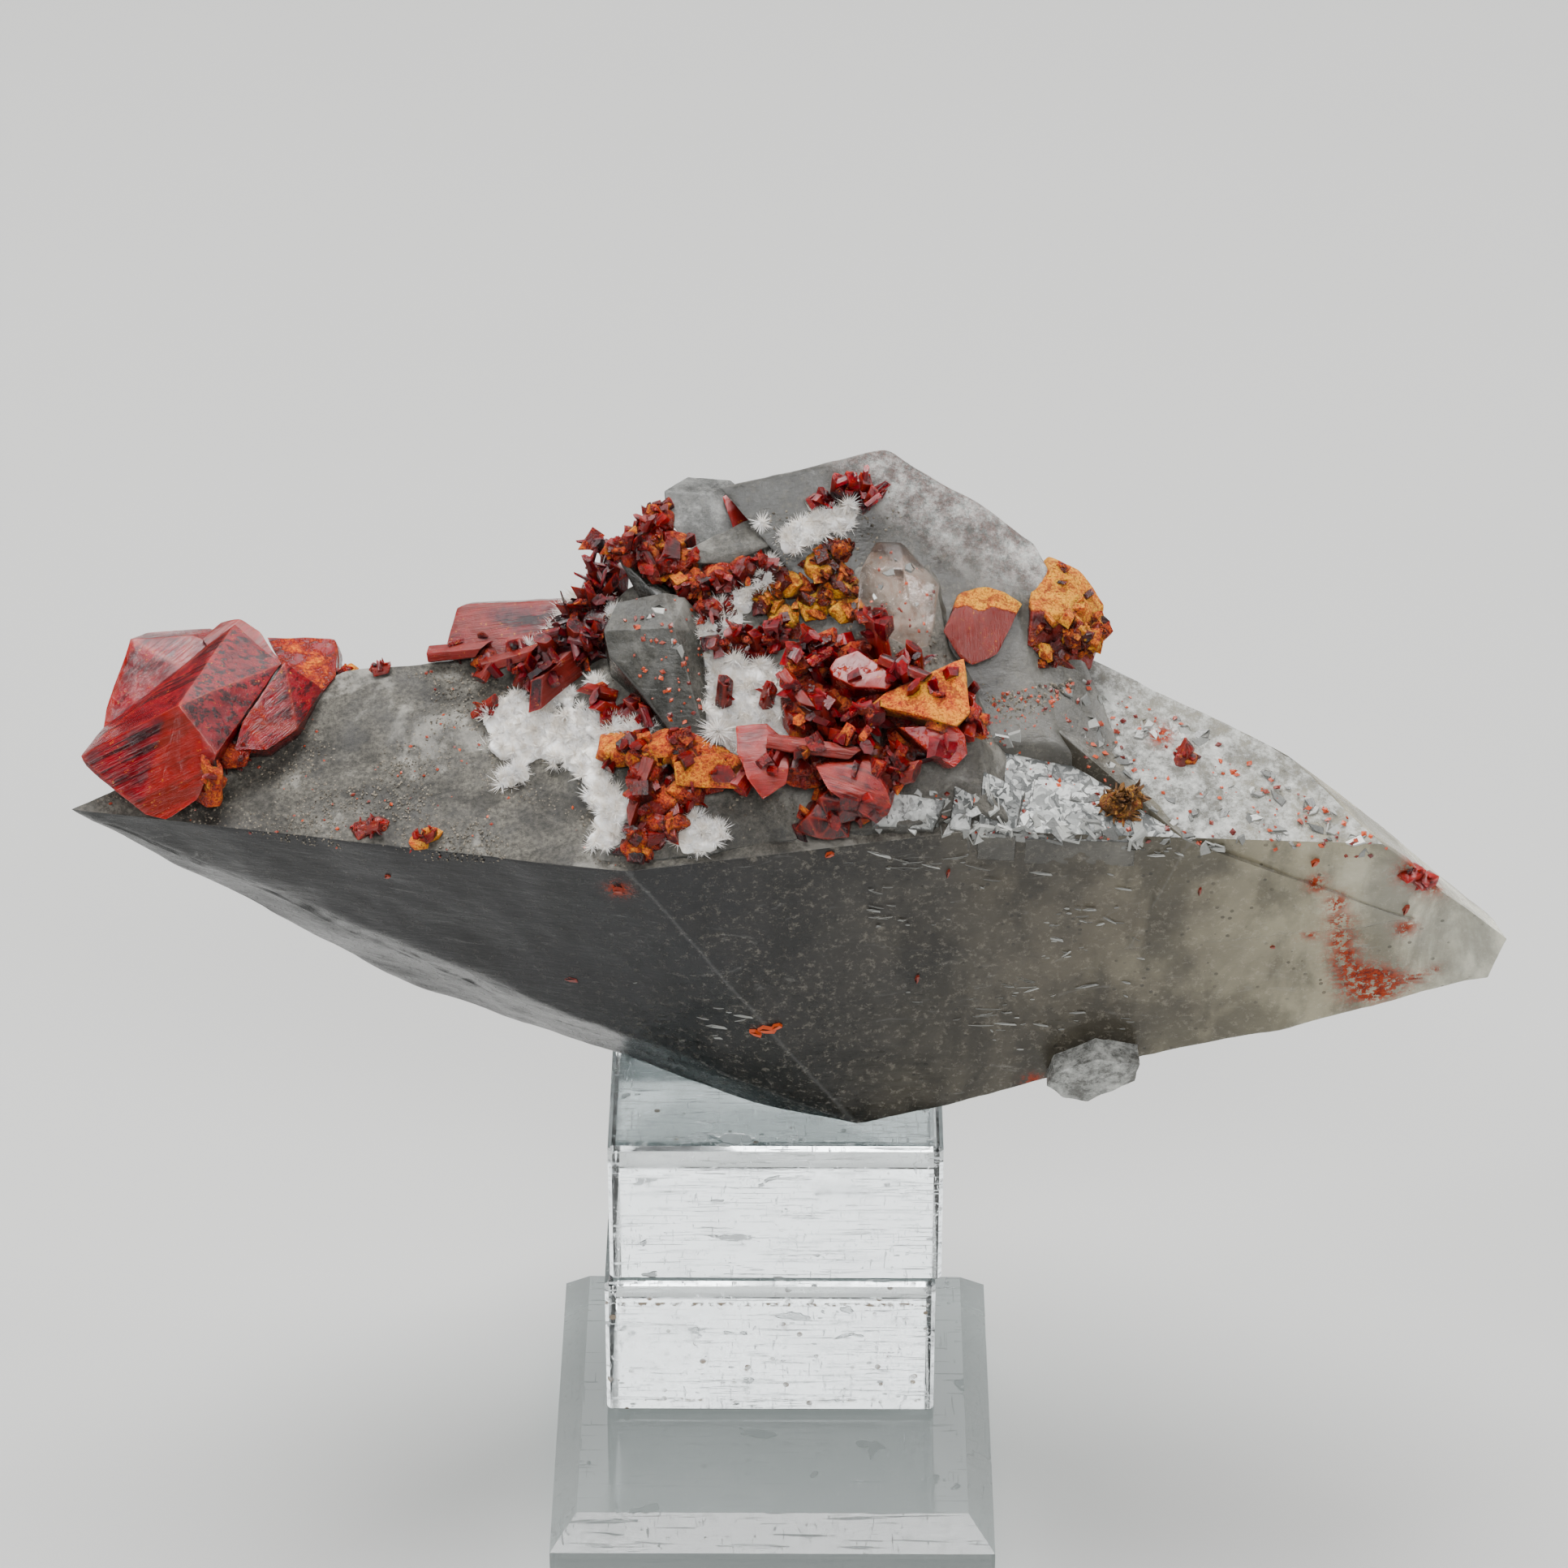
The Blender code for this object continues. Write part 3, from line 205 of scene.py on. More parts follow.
def shoulder():
    """Faces of the raised right part, cracked away along its left side."""
    return [
        SHOULDER_TOP,
        face(CRACK_TOP, CRACK_LOW, below(CRACK_TOP), SHOULDER_CORE),
        moved(FRONT_RIGHT_FACE, GROWTH_STEP),
        face(RIM_LEFT, RIM_MIDDLE, RIM_MIDDLE + RIM_SLOPE, SHOULDER_CORE),
        face(RIM_MIDDLE, RIM_RIGHT, RIM_RIGHT + RIM_SLOPE, SHOULDER_CORE),
        face(RIM_LEFT, CRACK_TOP, below(RIM_LEFT), SHOULDER_CORE),
        moved(REAR_RIGHT_FACE, 0.6),
        moved(UNDER_RIGHT_FACE, -1.5),
        facing((0.1, -0.4, -0.9), (50, -3, 63.5)),
        facing((0, 0, -1), (0, 0, 58)),
    ] + right_end()


def upper_crystal():
    """Faces of the crystal behind the groups, its tip the highest point."""
    return [
        face(APEX, UPPER_LEFT, np.array([2, 26, 90]), UPPER_CORE),
        face(APEX, UPPER_RIGHT, np.array([22, 30, 80]), UPPER_CORE),
        facing((0.02, -0.80, 0.60), APEX),
        facing((0.45, -0.62, 0.64), at(1200, 660, 9)),
        facing((-0.75, -0.20, -0.62), UPPER_LEFT),
        facing((0, 0.97, 0.25), (0, 26.5, 76)),
        facing((0.62, 0.76, 0.20), (25, 15, 84)),
        facing((0.10, 0.70, -0.70), (14, 26, 67)),
        facing((0, -1, 0), (0, -1.0, 0)),
        facing((-0.8, 0.6, 0), (-7, 18, 0)),
        facing((0, 0, -1), (0, 0, 62)),
        facing((0.9, 0.25, 0.3), (28, 10, 78)),
    ]


def mound():
    """Faces of the sloping ground between the main and the upper crystal."""
    inside = np.array([0, 8, 80])
    low_left = np.array([-14, -7, 75.5])
    top_left = np.array([-8, 12, 92])
    return [
        face(low_left, np.array([14, -7.5, 78]), np.array([0, 9, 93]), inside),
        face(np.array([-24, 10, 80.5]), low_left, top_left, inside),
        face(top_left, np.array([8, 12, 95]), np.array([0, 26, 84]), inside),
        face(np.array([-24, 12, 80.5]), top_left, np.array([-5, 30, 76]), inside),
        face(APEX, UPPER_RIGHT, np.array([22, 30, 80]), UPPER_CORE),
        facing((0.8, -0.2, 0.5), (19, 2, 82)),
        moved(FRONT_LEFT_FACE, -1.0),
        moved(FRONT_RIGHT_FACE, -1.0),
        facing((0, 0, -1), (0, 0, 70)),
        facing((0, 0.9, 0.3), (0, 19, 82)),
    ]


QUARTZ = [main_crystal(), shoulder(), upper_crystal(), mound()]


# Noise

def cell_value(cells, seed):
    """Even pseudo-random value from 0 to 1 for each whole-number cell."""
    key = (cells[..., 0] * 374761393 + cells[..., 1] * 668265263 + cells[..., 2] * 974634777 + seed * 144665)
    key = key & 0xFFFFFFFF
    key = ((key ^ (key >> 13)) * 1274126177) & 0xFFFFFFFF
    return ((key ^ (key >> 16)) & 0xFFFF) / 65535.0


def smooth_noise(points, seed=0):
    """Noise from 0 to 1: the eight values round each point's cell, eased and blended."""
    base = np.floor(points).astype(np.int64)
    part = points - base
    ease = part * part * (3 - 2 * part)
    total = np.zeros(points.shape[:-1])
    for corner in np.ndindex(2, 2, 2):
        corner = np.array(corner)
        weight = np.prod(np.where(corner == 1, ease, 1 - ease), axis=-1)
        total += weight * cell_value(base + corner, seed)
    return total


def rough_noise(points, octaves=4, seed=0):
    """Sum of smooth noises, each twice as fine and half as strong, from 0 to 1."""
    total = np.zeros(points.shape[:-1])
    share = 1.0
    whole = 0.0
    for octave in range(octaves):
        total += share * smooth_noise(points * 2 ** octave, seed + octave)
        whole += share
        share *= 0.5
    return total / whole


# Crystals

def hull(corners):
    """Planes of the convex body that spans the corners: every triple whose plane
    leaves all the other corners on one side gives a face."""
    points = np.array([np.asarray(c, float) for c in corners])
    count = len(points)
    triples = np.array([(i, j, k) for i in range(count) for j in range(i + 1, count) for k in range(j + 1,
                                                                                                    count)])
    p, q, r = points[triples[:, 0]], points[triples[:, 1]], points[triples[:, 2]]
    normals = np.cross(q - p, r - p)
    size = np.linalg.norm(normals, axis=1)
    good = size > FLAT_TRIPLE
    normals = normals[good] / size[good][:, None]
    offsets = (normals * p[good]).sum(1)
    slack = offsets[:, None] - normals @ points.T
    flip = (slack <= ON_PLANE).all(1)
    normals[flip], offsets[flip], slack[flip] = -normals[flip], -offsets[flip], -slack[flip]
    outer = (slack >= -ON_PLANE).all(1)
    planes = []
    for normal, offset in zip(normals[outer], offsets[outer]):
        if all(np.linalg.norm(normal - n) > 0.02 or abs(offset - o) > 0.02 for n, o in planes):
            planes.append((normal, offset))
    return planes


class Body:
    """One convex crystal: its planes, its own axes (across, depth, along) and its finish."""

    def __init__(self, planes, axes=None, origin=None, tone=0.5, powder=0.0, grooves=0.0):
        self.planes = planes
        self.axes = np.eye(3) if axes is None else axes
        self.origin = np.zeros(3) if origin is None else origin
        self.tone = tone
        self.powder = powder
        self.grooves = grooves

    def look(self, tone=None, powder=None, grooves=None):
        """The same body with another finish."""
        self.tone = self.tone if tone is None else tone
        self.powder = self.powder if powder is None else powder
        self.grooves = self.grooves if grooves is None else grooves
        return self


def own_axes(start, end):
    """Axes of a crystal that points from start to end: across the sight line, depth, along."""
    along = unit(end - start)
    across = unit(np.cross(along, unit(EYE - start)))
    return np.array([across, np.cross(across, along), along])


def block(corners, sunk=None, along=None, extra=()):
    """Chunk that spans its seen corners, the same corners sunk into the ground and any extra ones."""
    corners = [np.asarray(c, float) for c in corners]
    every = list(corners) + list(extra)
    if sunk is not None:
        every += [c + np.array(sunk, float) for c in corners]
    start, end = (corners[0], corners[1]) if along is None else along
    return Body(hull(every), own_axes(start, end), start)


SIX_RING = [(0.5, 0), (0.27, 0.5), (-0.27, 0.5), (-0.5, 0), (-0.27, -0.5), (0.27, -0.5)]
SQUARE_RING = [(0.5, 0.5), (-0.5, 0.5), (-0.5, -0.5), (0.5, -0.5)]
SLIM = 1.25


def prism(foot, tip, width, thick, roll=0.0, slant=0.25, sides=6):
    """Crystal from foot to tip with a slanting end face, six-sided or, where it is slim, square."""
    length = np.linalg.norm(tip - foot)
    across, depth, axis = own_axes(foot, tip)
    angle = math.radians(roll)
    across, depth = turned(across, axis, angle), turned(depth, axis, angle)
    ring = SQUARE_RING if sides == 4 or width < SLIM else SIX_RING
    corners = []
    for a, b in ring:
        rim = across * (a * width) + depth * (b * thick)
        corners.append(foot + rim)
        corners.append(foot + axis * length * (1 - slant * (a + 0.5 * b)) + rim * 0.92)
    return Body(hull(corners), np.array([across, depth, axis]), foot)


# Meshes

def clipped(loop, normal, offset):
    """Part of a corner loop on the inner side of a plane: kept corners and the
    points where its sides cross the plane."""
    over = loop @ normal - offset
    following, over_next = np.roll(loop, -1, 0), np.roll(over, -1)
    crossing = (over > 0) != (over_next > 0)
    share = np.where(crossing, over / np.where(crossing, over - over_next, 1), 0)[:, None]
    both = np.stack([loop, loop + (following - loop) * share], 1).reshape(-1, 3)
    keep = np.stack([over <= 0, crossing], 1).reshape(-1)
    return both[keep]


def corner_loops(planes):
    """Corner loop of every face of a convex body: a wide square on the face's
    plane, clipped by all the other planes."""
    loops = []
    for index, (normal, offset) in enumerate(planes):
        helper = np.array([1.0, 0, 0]) if abs(normal[0]) < 0.8 else np.array([0, 1.0, 0])
        u = unit(np.cross(helper, normal))
        v = np.cross(normal, u)
        loop = normal * offset + 200.0 * np.array([u + v, v - u, -u - v, u - v])
        for other, (n, o) in enumerate(planes):
            if other != index and len(loop) > 2:
                loop = clipped(loop, n, o)
        if len(loop) > 2:
            sides = np.linalg.norm(loop - np.roll(loop, 1, 0), axis=1)
            loop = loop[sides > SHORT_SIDE]
        if len(loop) > 2:
            loops.append((index, loop))
    return loops


class Shape:
    """Points, faces and per-point values that become one mesh."""

    def __init__(self):
        self.points, self.faces, self.values = [], [], {}
        self.count = 0

    def add(self, points, faces, **values):
        """Append points (n, 3) in mm, faces (m, 3 or 4) and values per point."""
        self.faces.append(faces + self.count)
        self.points.append(points)
        for name, value in values.items():
            value = np.asarray(value, float)
            whole = np.broadcast_to(value, (len(points),) + value.shape[value.ndim - (value.shape[-1:] == (3,)):])
            self.values.setdefault(name, []).append(whole)
        self.count += len(points)

    def grid(self, rows):
        """Point numbers of the quads of a grid of `rows` (s, t) points, in faces' order."""
        s, t = rows
        number = np.arange(s * t).reshape(s, t)
        return np.stack([number[:-1, :-1], number[1:, :-1], number[1:, 1:], number[:-1, 1:]], -1).reshape(-1,
                                                                                                          4)


def fans(planes, step, rims):
    """Grids over every face: middle + s (side point - middle), s from 0 at the
    middle to 1 at the rim, with extra rings at the distances in `rims` from it."""
    for index, loop in corner_loops(planes):
        middle = loop.mean(0)
        size = np.linalg.norm(loop - middle, axis=1).mean()
        rings = np.linspace(0, 1, max(2, int(size / step)) + 1)
        s = np.unique(np.round(np.clip(np.concatenate([rings, 1 - np.array(rims) / size]), 0, 1), 4))
        for a, b in zip(loop, np.roll(loop, -1, 0)):
            t = np.linspace(0, 1, max(1, math.ceil(np.linalg.norm(b - a) / step - 1e-6)) + 1)
            side = a + (b - a) * t[:, None]
            yield index, middle + s[:, None, None] * (side - middle)


def add_body(shape, body, step, wear=0.08, relief=0.0, relief_size=3.0, paint=None):
    """One crystal. Worn edges: each point moves inwards by wear * ln(sum of
    exp(-slack / wear)), where slack is its distance to every face plane; growth
    relief moves it along the blended normal by noise of its place."""
    normals = np.array([p[0] for p in body.planes])
    offsets = np.array([p[1] for p in body.planes])
    parts, quads, which, count = [], [], [], 0
    for index, grid in fans(body.planes, step, (wear * 0.8, wear * 2, wear * 4)):
        quads.append(shape.grid(grid.shape[:2]) + count)
        parts.append(grid.reshape(-1, 3))
        which.append(np.full(len(parts[-1]), index))
        count += len(parts[-1])
    points, faces, which = np.concatenate(parts), np.concatenate(quads), np.concatenate(which)
    slack = np.maximum(offsets - points @ normals.T, 0)
    chip = wear * (0.5 + 1.6 * smooth_noise(points * 0.7, 5))[:, None]
    share = np.exp(-slack / chip)
    blended = unit(share @ normals)
    edge = np.clip(np.exp(-slack / (wear * 2)).sum(1) - 1, 0, 1)
    swell = relief * (rough_noise(points / relief_size, 4, 3) - 0.5) * 2 if relief else 0
    inward = chip[:, 0] * np.log(share.sum(1))
    local = (points - body.origin) @ body.axes.T
    values = dict(local=local, tone=body.tone, powder=body.powder, grooves=body.grooves, edge=edge)
    if paint:
        values.update(paint(which, points, blended))
    shape.add(points + blended * (swell - inward)[:, None], faces, **values)


def repeat(shape, template, faces, places, frames, sizes, **values):
    """The same small shape at many places: point = place + (template * size) in
    the place's own axes (frames: n rows of across, depth, along)."""
    count, points = len(places), len(template)
    own = template[None] * sizes[:, None, :]
    world = places[:, None, :] + np.einsum("nkc,ncd->nkd", own, frames)
    numbers = (faces[None] + (np.arange(count) * points)[:, None, None]).reshape(-1, faces.shape[1])
    spread = {name: np.repeat(np.broadcast_to(value, (count,)), points) for name, value in values.items()}
    spread.setdefault("edge", 0.0)
    shape.add(world.reshape(-1, 3), numbers, local=own.reshape(-1, 3), **spread)


def make(name, shape, finish, node, sharp=None, merge=True):
    """Mesh object of a shape, in metres, riding the root body in a CAD node's place."""
    points = np.concatenate(shape.points) * MM
    faces = np.concatenate(shape.faces)
    mesh = bpy.data.meshes.new(name)
    mesh.from_pydata(points, [], faces.tolist())
    for key, parts in shape.values.items():
        value = np.concatenate(parts)
        if value.ndim == 2:
            mesh.attributes.new(key, "FLOAT_VECTOR", "POINT").data.foreach_set("vector", value.ravel())
        else:
            mesh.attributes.new(key, "FLOAT", "POINT").data.foreach_set("value", value)
    if merge:
        shell = bmesh.new()
        shell.from_mesh(mesh)
        bmesh.ops.remove_doubles(shell, verts=shell.verts, dist=MERGE)
        bmesh.ops.dissolve_degenerate(shell, edges=shell.edges, dist=MERGE)
        shell.to_mesh(mesh)
        shell.free()
    if sharp is None:
        mesh.shade_flat()
    else:
        mesh.shade_smooth()
        mesh.set_sharp_from_angle(angle=math.radians(sharp))
    mesh.validate()
    made = bpy.data.objects.new(name, mesh)
    bpy.context.scene.collection.objects.link(made)
    mesh.materials.append(finish)
    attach(made, "root")
    if node:
        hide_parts(node)
    return made


MERGE = 2e-6


# Small shapes that are repeated, each with its own axes (across, depth, along)

def prism_template():
    """Six-sided column, one unit long, with a slanting end."""
    turn = np.arange(6) * math.pi / 3
    ring = np.stack([np.cos(turn) * 0.5, np.sin(turn) * 0.5, np.zeros(6)], 1)
    top = ring * 0.9
    top[:, 2] = 1 - 0.35 * ring[:, 0]
    around = np.arange(6)
    sides = np.stack([around, (around + 1) % 6, (around + 1) % 6 + 6, around + 6], 1)
    ends = np.array([[6, 7, 8, 9], [6, 9, 10, 11], [3, 2, 1, 0], [5, 4, 3, 0]])
    return np.concatenate([ring, top]), np.concatenate([sides, ends])


def shard_template():
    """Skewed block, one unit long, broken off at a slant."""
    points = np.array([[-0.5, -0.4, 0], [0.45, -0.5, 0], [0.5, 0.42, 0], [-0.42, 0.5, 0],
                       [-0.4, -0.25, 0.7], [0.3, -0.45, 0.95], [0.42, 0.3, 1.0], [-0.2, 0.4, 0.55]])
    return points, np.array([[3, 2, 1, 0], [4, 5, 6, 7], [0, 1, 5, 4], [1, 2, 6, 5], [2, 3, 7, 6],
                             [3, 0, 4, 7]])


def cone_template():
    """Thin three-sided needle, one unit long."""
    turn = np.arange(3) * math.tau / 3
    ring = np.stack([np.cos(turn) * 0.5, np.sin(turn) * 0.5, np.zeros(3)], 1)
    points = np.concatenate([ring, [[0, 0, 1.0]]])
    return points, np.array([[0, 1, 3], [1, 2, 3], [2, 0, 3], [2, 1, 0]])


def grain_template():
    """Eight-sided grain, one unit across."""
    points = np.array([[0.5, 0, 0], [0, 0.5, 0], [-0.5, 0, 0], [0, -0.5, 0], [0.05, 0.02, 0.5], [0, 0, -0.5]])
    return points, np.array([[0, 1, 4], [1, 2, 4], [2, 3, 4], [3, 0, 4], [1, 0, 5], [2, 1, 5], [3, 2, 5],
                             [0, 3, 5]])


def flake_template():
    """Flat five-cornered chip, one unit across."""
    turn = np.arange(5) * math.tau / 5
    reach = np.array([0.5, 0.35, 0.52, 0.4, 0.47])
    top = np.stack([np.cos(turn) * reach, np.sin(turn) * reach, np.full(5, 0.5)], 1)
    base = top * 1.15
    base[:, 2] = -0.5
    around = np.arange(5)
    sides = np.stack([around + 5, (around + 1) % 5 + 5, (around + 1) % 5, around], 1)
    caps = np.array([[0, 1, 2, 3], [0, 3, 4, 4], [8, 7, 6, 5], [9, 8, 5, 5]])
    return np.concatenate([top, base]), np.concatenate([sides, caps])


def sliver_template():
    """Flat three-sided splinter, one unit long."""
    top = np.array([[-0.5, -0.2, 0.5], [0.5, 0.05, 0.5], [-0.1, 0.5, 0.5]])
    base = top * np.array([1.1, 1.1, -1.0])
    points = np.concatenate([top, base])
    return points, np.array([[0, 1, 2, 2], [5, 4, 3, 3], [3, 4, 1, 0], [4, 5, 2, 1], [5, 3, 0, 2]])


def frames_along(along, chance):
    """Own axes for many directions, each turned by chance about its own line."""
    along = unit(along)
    helper = unit(chance.normal(size=along.shape))
    across = unit(np.cross(helper, along))
    return np.stack([across, np.cross(along, across), along], 1)


def sights(px, py):
    """Unit sight lines through many picture points."""
    px, py = np.asarray(px, float)[:, None], np.asarray(py, float)[:, None]
    return unit(EYE_FORWARD + EYE_RIGHT * ((px - EYE_MIDDLE) / EYE_SCALE) - EYE_UP * ((py - EYE_MIDDLE) / EYE_SCALE))


def ground(px, py, bodies):
    """Nearest points, outward directions and hits of many sight lines on convex
    bodies: the line enters at the last plane it comes in through and must do so
    before it leaves through any other."""
    lines = sights(px, py)
    best = np.full(len(lines), 1e9)
    outward = np.zeros_like(lines)
    for planes in bodies:
        normals = np.array([p[0] for p in planes])
        reach = np.array([p[1] for p in planes]) - normals @ EYE
        slope = lines @ normals.T
        slope = np.where(np.abs(slope) < NO_SLOPE, NO_SLOPE, slope)
        enter = np.where(slope < 0, reach / slope, -1e9)
        leave = np.where(slope > 0, reach / slope, 1e9).min(1)
        first = enter.argmax(1)
        entry = enter.max(1)
        hit = (entry < leave) & (entry < best)
        best = np.where(hit, entry, best)
        outward[hit] = normals[first[hit]]
    return EYE + lines * best[:, None], outward, best < 1e9


def inside_outline(px, py, outline):
    """True for the picture points inside a closed outline (even-odd crossings)."""
    corners = np.array(outline, float)
    following = np.roll(corners, -1, 0)
    ax, ay, bx, by = corners[:, 0], corners[:, 1], following[:, 0], following[:, 1]
    px, py = px[:, None], py[:, None]
    spans = (ay > py) != (by > py)
    slope = (bx - ax) / np.where(by == ay, NO_SLOPE, by - ay)
    return (spans & (px < ax + (py - ay) * slope)).sum(1) % 2 == 1


def oval(px, py, wide, high):
    """Outline of an oval in the front view, by its middle and half sizes."""
    turn = np.arange(12) * math.tau / 12
    return np.stack([px + wide * np.cos(turn), py + high * np.sin(turn)], 1)


def scattered(outline, count, chance, bodies=None):
    """Random points of the ground inside an outline of the front view, with the
    ground's outward directions."""
    corners = np.array(outline, float)
    low, high = corners.min(0), corners.max(0)
    tries = chance.uniform(low, high, (count * 4, 2))
    tries = tries[inside_outline(tries[:, 0], tries[:, 1], outline)]
    points, outward, hit = ground(tries[:, 0], tries[:, 1], QUARTZ if bodies is None else bodies)
    return points[hit][:count], outward[hit][:count]


# Materials

def tint(code):
    """Linear colour of a #rrggbb code."""
    parts = np.array([int(code[k:k + 2], 16) / 255 for k in (1, 3, 5)])
    linear = np.where(parts > 0.04045, ((parts + 0.055) / 1.055) ** 2.4, parts / 12.92)
    return (*linear.tolist(), 1.0)


def add(tree, kind, settings=None, **inputs):
    """New node; each named input takes a value or a link from another socket."""
    made = tree.nodes.new(kind)
    for name, value in (settings or {}).items():
        setattr(made, name, value)
    for name, value in inputs.items():
        socket = made.inputs[int(name[1:])] if name[1:].isdigit() else made.inputs[name.replace("_", " ")]
        if isinstance(value, bpy.types.NodeSocket):
            tree.links.new(value, socket)
        else:
            socket.default_value = value
    return made


def mix(tree, share, first, second, blend="MIX"):
    """Colour between two colours."""
    made = add(tree, "ShaderNodeMix", {"data_type": "RGBA", "blend_type": blend}, i0=share, i6=first,
               i7=second)
    return made.outputs[2]


def sums(tree, operation, first, second=0.0, third=0.0, clamp=False):
    """Arithmetic of two or three values."""
    made = add(tree, "ShaderNodeMath", {"operation": operation, "use_clamp": clamp}, i0=first, i1=second)
    if operation in ("MULTIPLY_ADD", "SMOOTH_MAX"):
        made.inputs[2].default_value = third
    return made.outputs[0]


def spread(tree, value, low, high, to_low=0.0, to_high=1.0):
    """Value stretched from one range to another, eased at both ends."""
    made = add(tree, "ShaderNodeMapRange", {"interpolation_type": "SMOOTHSTEP"}, Value=value, From_Min=low,
               From_Max=high, To_Min=to_low, To_Max=to_high)
    return made.outputs[0]


def noise(tree, place, scale, detail=4.0, rough=0.6, twist=0.0, scales=None):
    """Noise value of a place; `scales` stretches it along the axes."""
    if scales:
        place = add(tree, "ShaderNodeVectorMath", {"operation": "MULTIPLY"}, i0=place, i1=scales).outputs[0]
    made = add(tree, "ShaderNodeTexNoise", None, Vector=place, Scale=scale, Detail=detail, Roughness=rough,
               Distortion=twist)
    return made.outputs["Fac"]


def group(name, inputs, outputs, fill):
    """Shader node group: named inputs with default values, named outputs, filled by `fill`."""
    made = bpy.data.node_groups.new(name, "ShaderNodeTree")
    for label, kind, value in inputs:
        socket = made.interface.new_socket(label, in_out="INPUT", socket_type=kind)
        if value is not None:
            socket.default_value = value
    for label, kind in outputs:
        made.interface.new_socket(label, in_out="OUTPUT", socket_type=kind)
    source = made.nodes.new("NodeGroupInput").outputs
    target = made.nodes.new("NodeGroupOutput").inputs
    for label, result in fill(made, source).items():
        made.links.new(result, target[label])
    return made


def place_group(tree, which, **inputs):
    """A group placed in a material with its own values."""
    made = tree.nodes.new("ShaderNodeGroup")
    made.node_tree = which
    for name, value in inputs.items():
        socket = made.inputs[name.replace("_", " ")]
        if isinstance(value, bpy.types.NodeSocket):
            tree.links.new(value, socket)
        else:
            socket.default_value = value
    return made.outputs


FLOAT, VECTOR = "NodeSocketFloat", "NodeSocketVector"


def fill_striations(tree, source):
    """Lines along a crystal: noise of its own axes, drawn out along its length."""
    place = add(tree, "ShaderNodeVectorMath", {"operation": "MULTIPLY"}, i0=source["Own Place"],
                i1=(1, 1, 0.035)).outputs[0]
    coarse = add(tree, "ShaderNodeTexNoise", None, Vector=place, Scale=source["Lines"], Detail=5.0,
                 Roughness=0.7)
    fine = noise(tree, place, 9.0, 2.0)
    height = sums(tree, "ADD", coarse.outputs["Fac"], sums(tree, "MULTIPLY", fine, 0.35))
    return {"Height": height, "Lines": spread(tree, coarse.outputs["Fac"], 0.50, 0.56)}


def fill_powder(tree, source):
    """Powder that lies in patches: broad noise plus fine crumbs against an amount."""
    broad = noise(tree, source["Place"], 0.55, 5.0, 0.65)
    crumbs = noise(tree, source["Place"], 4.5, 3.0, 0.7)
    level = sums(tree, "ADD", sums(tree, "MULTIPLY", broad, 0.75), sums(tree, "MULTIPLY", crumbs, 0.35))
    depth = sums(tree, "ADD", level, source["Amount"])
    return {"Mask": spread(tree, depth, 0.80, 0.92), "Height": crumbs,
            "Shade": spread(tree, depth, 0.86, 1.12)}


def fill_wear(tree, source):
    """Worn rims: the edge value broken up by noise."""
    ragged = noise(tree, source["Place"], 2.2, 4.0, 0.7)
    mask = spread(tree, sums(tree, "MULTIPLY", source["Edge"], sums(tree, "ADD", ragged, 0.45)),
                  source["From"], 0.95)
    return {"Mask": mask}


def fill_specks(tree, source):
    """Specks: cell centres nearer than a size, kept where a coarse noise allows."""
    cells = add(tree, "ShaderNodeTexVoronoi", {"feature": "F1"}, Vector=source["Place"],
                Scale=source["Scale"])
    allowed = noise(tree, source["Place"], 0.35, 3.0)
    near = sums(tree, "LESS_THAN", cells.outputs["Distance"], source["Size"])
    return {"Mask": sums(tree, "MULTIPLY", near, spread(tree, allowed, 0.42, 0.6))}


STRIATIONS = group("striations", [("Own Place", VECTOR, None), ("Lines", FLOAT, 2.5)],
                   [("Height", FLOAT), ("Lines", FLOAT)], fill_striations)
POWDER = group("powder coat", [("Place", VECTOR, None), ("Amount", FLOAT, 0.3)],
               [("Mask", FLOAT), ("Height", FLOAT), ("Shade", FLOAT)], fill_powder)
WEAR = group("worn rims", [("Place", VECTOR, None), ("Edge", FLOAT, 0.0), ("From", FLOAT, 0.25)],
             [("Mask", FLOAT)], fill_wear)
SPECKS = group("specks", [("Place", VECTOR, None), ("Scale", FLOAT, 1.0), ("Size", FLOAT, 0.2)],
               [("Mask", FLOAT)], fill_specks)


def begin(name):
    """Empty material, its tree, its shader and places in mm."""
    made = bpy.data.materials.new(name)
    made.use_nodes = True
    tree = made.node_tree
    shader = tree.nodes["Principled BSDF"]
    coordinates = tree.nodes.new("ShaderNodeTexCoord")
    place = add(tree, "ShaderNodeVectorMath", {"operation": "SCALE"}, i0=coordinates.outputs["Object"],
                Scale=1000.0)
    return made, tree, shader, place.outputs[0]


def value_of(tree, name, port="Fac"):
    """Per-point value of the mesh."""
    return add(tree, "ShaderNodeAttribute", {"attribute_name": name}).outputs[port]


def finish(tree, shader, colour, roughness, height=None, relief=0.05, strength=0.6):
    """Feed the shader's varying sockets."""
    tree.links.new(colour, shader.inputs["Base Color"])
    if isinstance(roughness, float):
        shader.inputs["Roughness"].default_value = roughness
    else:
        tree.links.new(roughness, shader.inputs["Roughness"])
    if height is not None:
        bump = add(tree, "ShaderNodeBump", None, Strength=strength, Distance=relief * MM, Height=height)
        tree.links.new(bump.outputs[0], shader.inputs["Normal"])


# Reach of the painted shade that darkens the realgar's crevices.
CREVICE_SHADE_REACH = 2.2 * MM


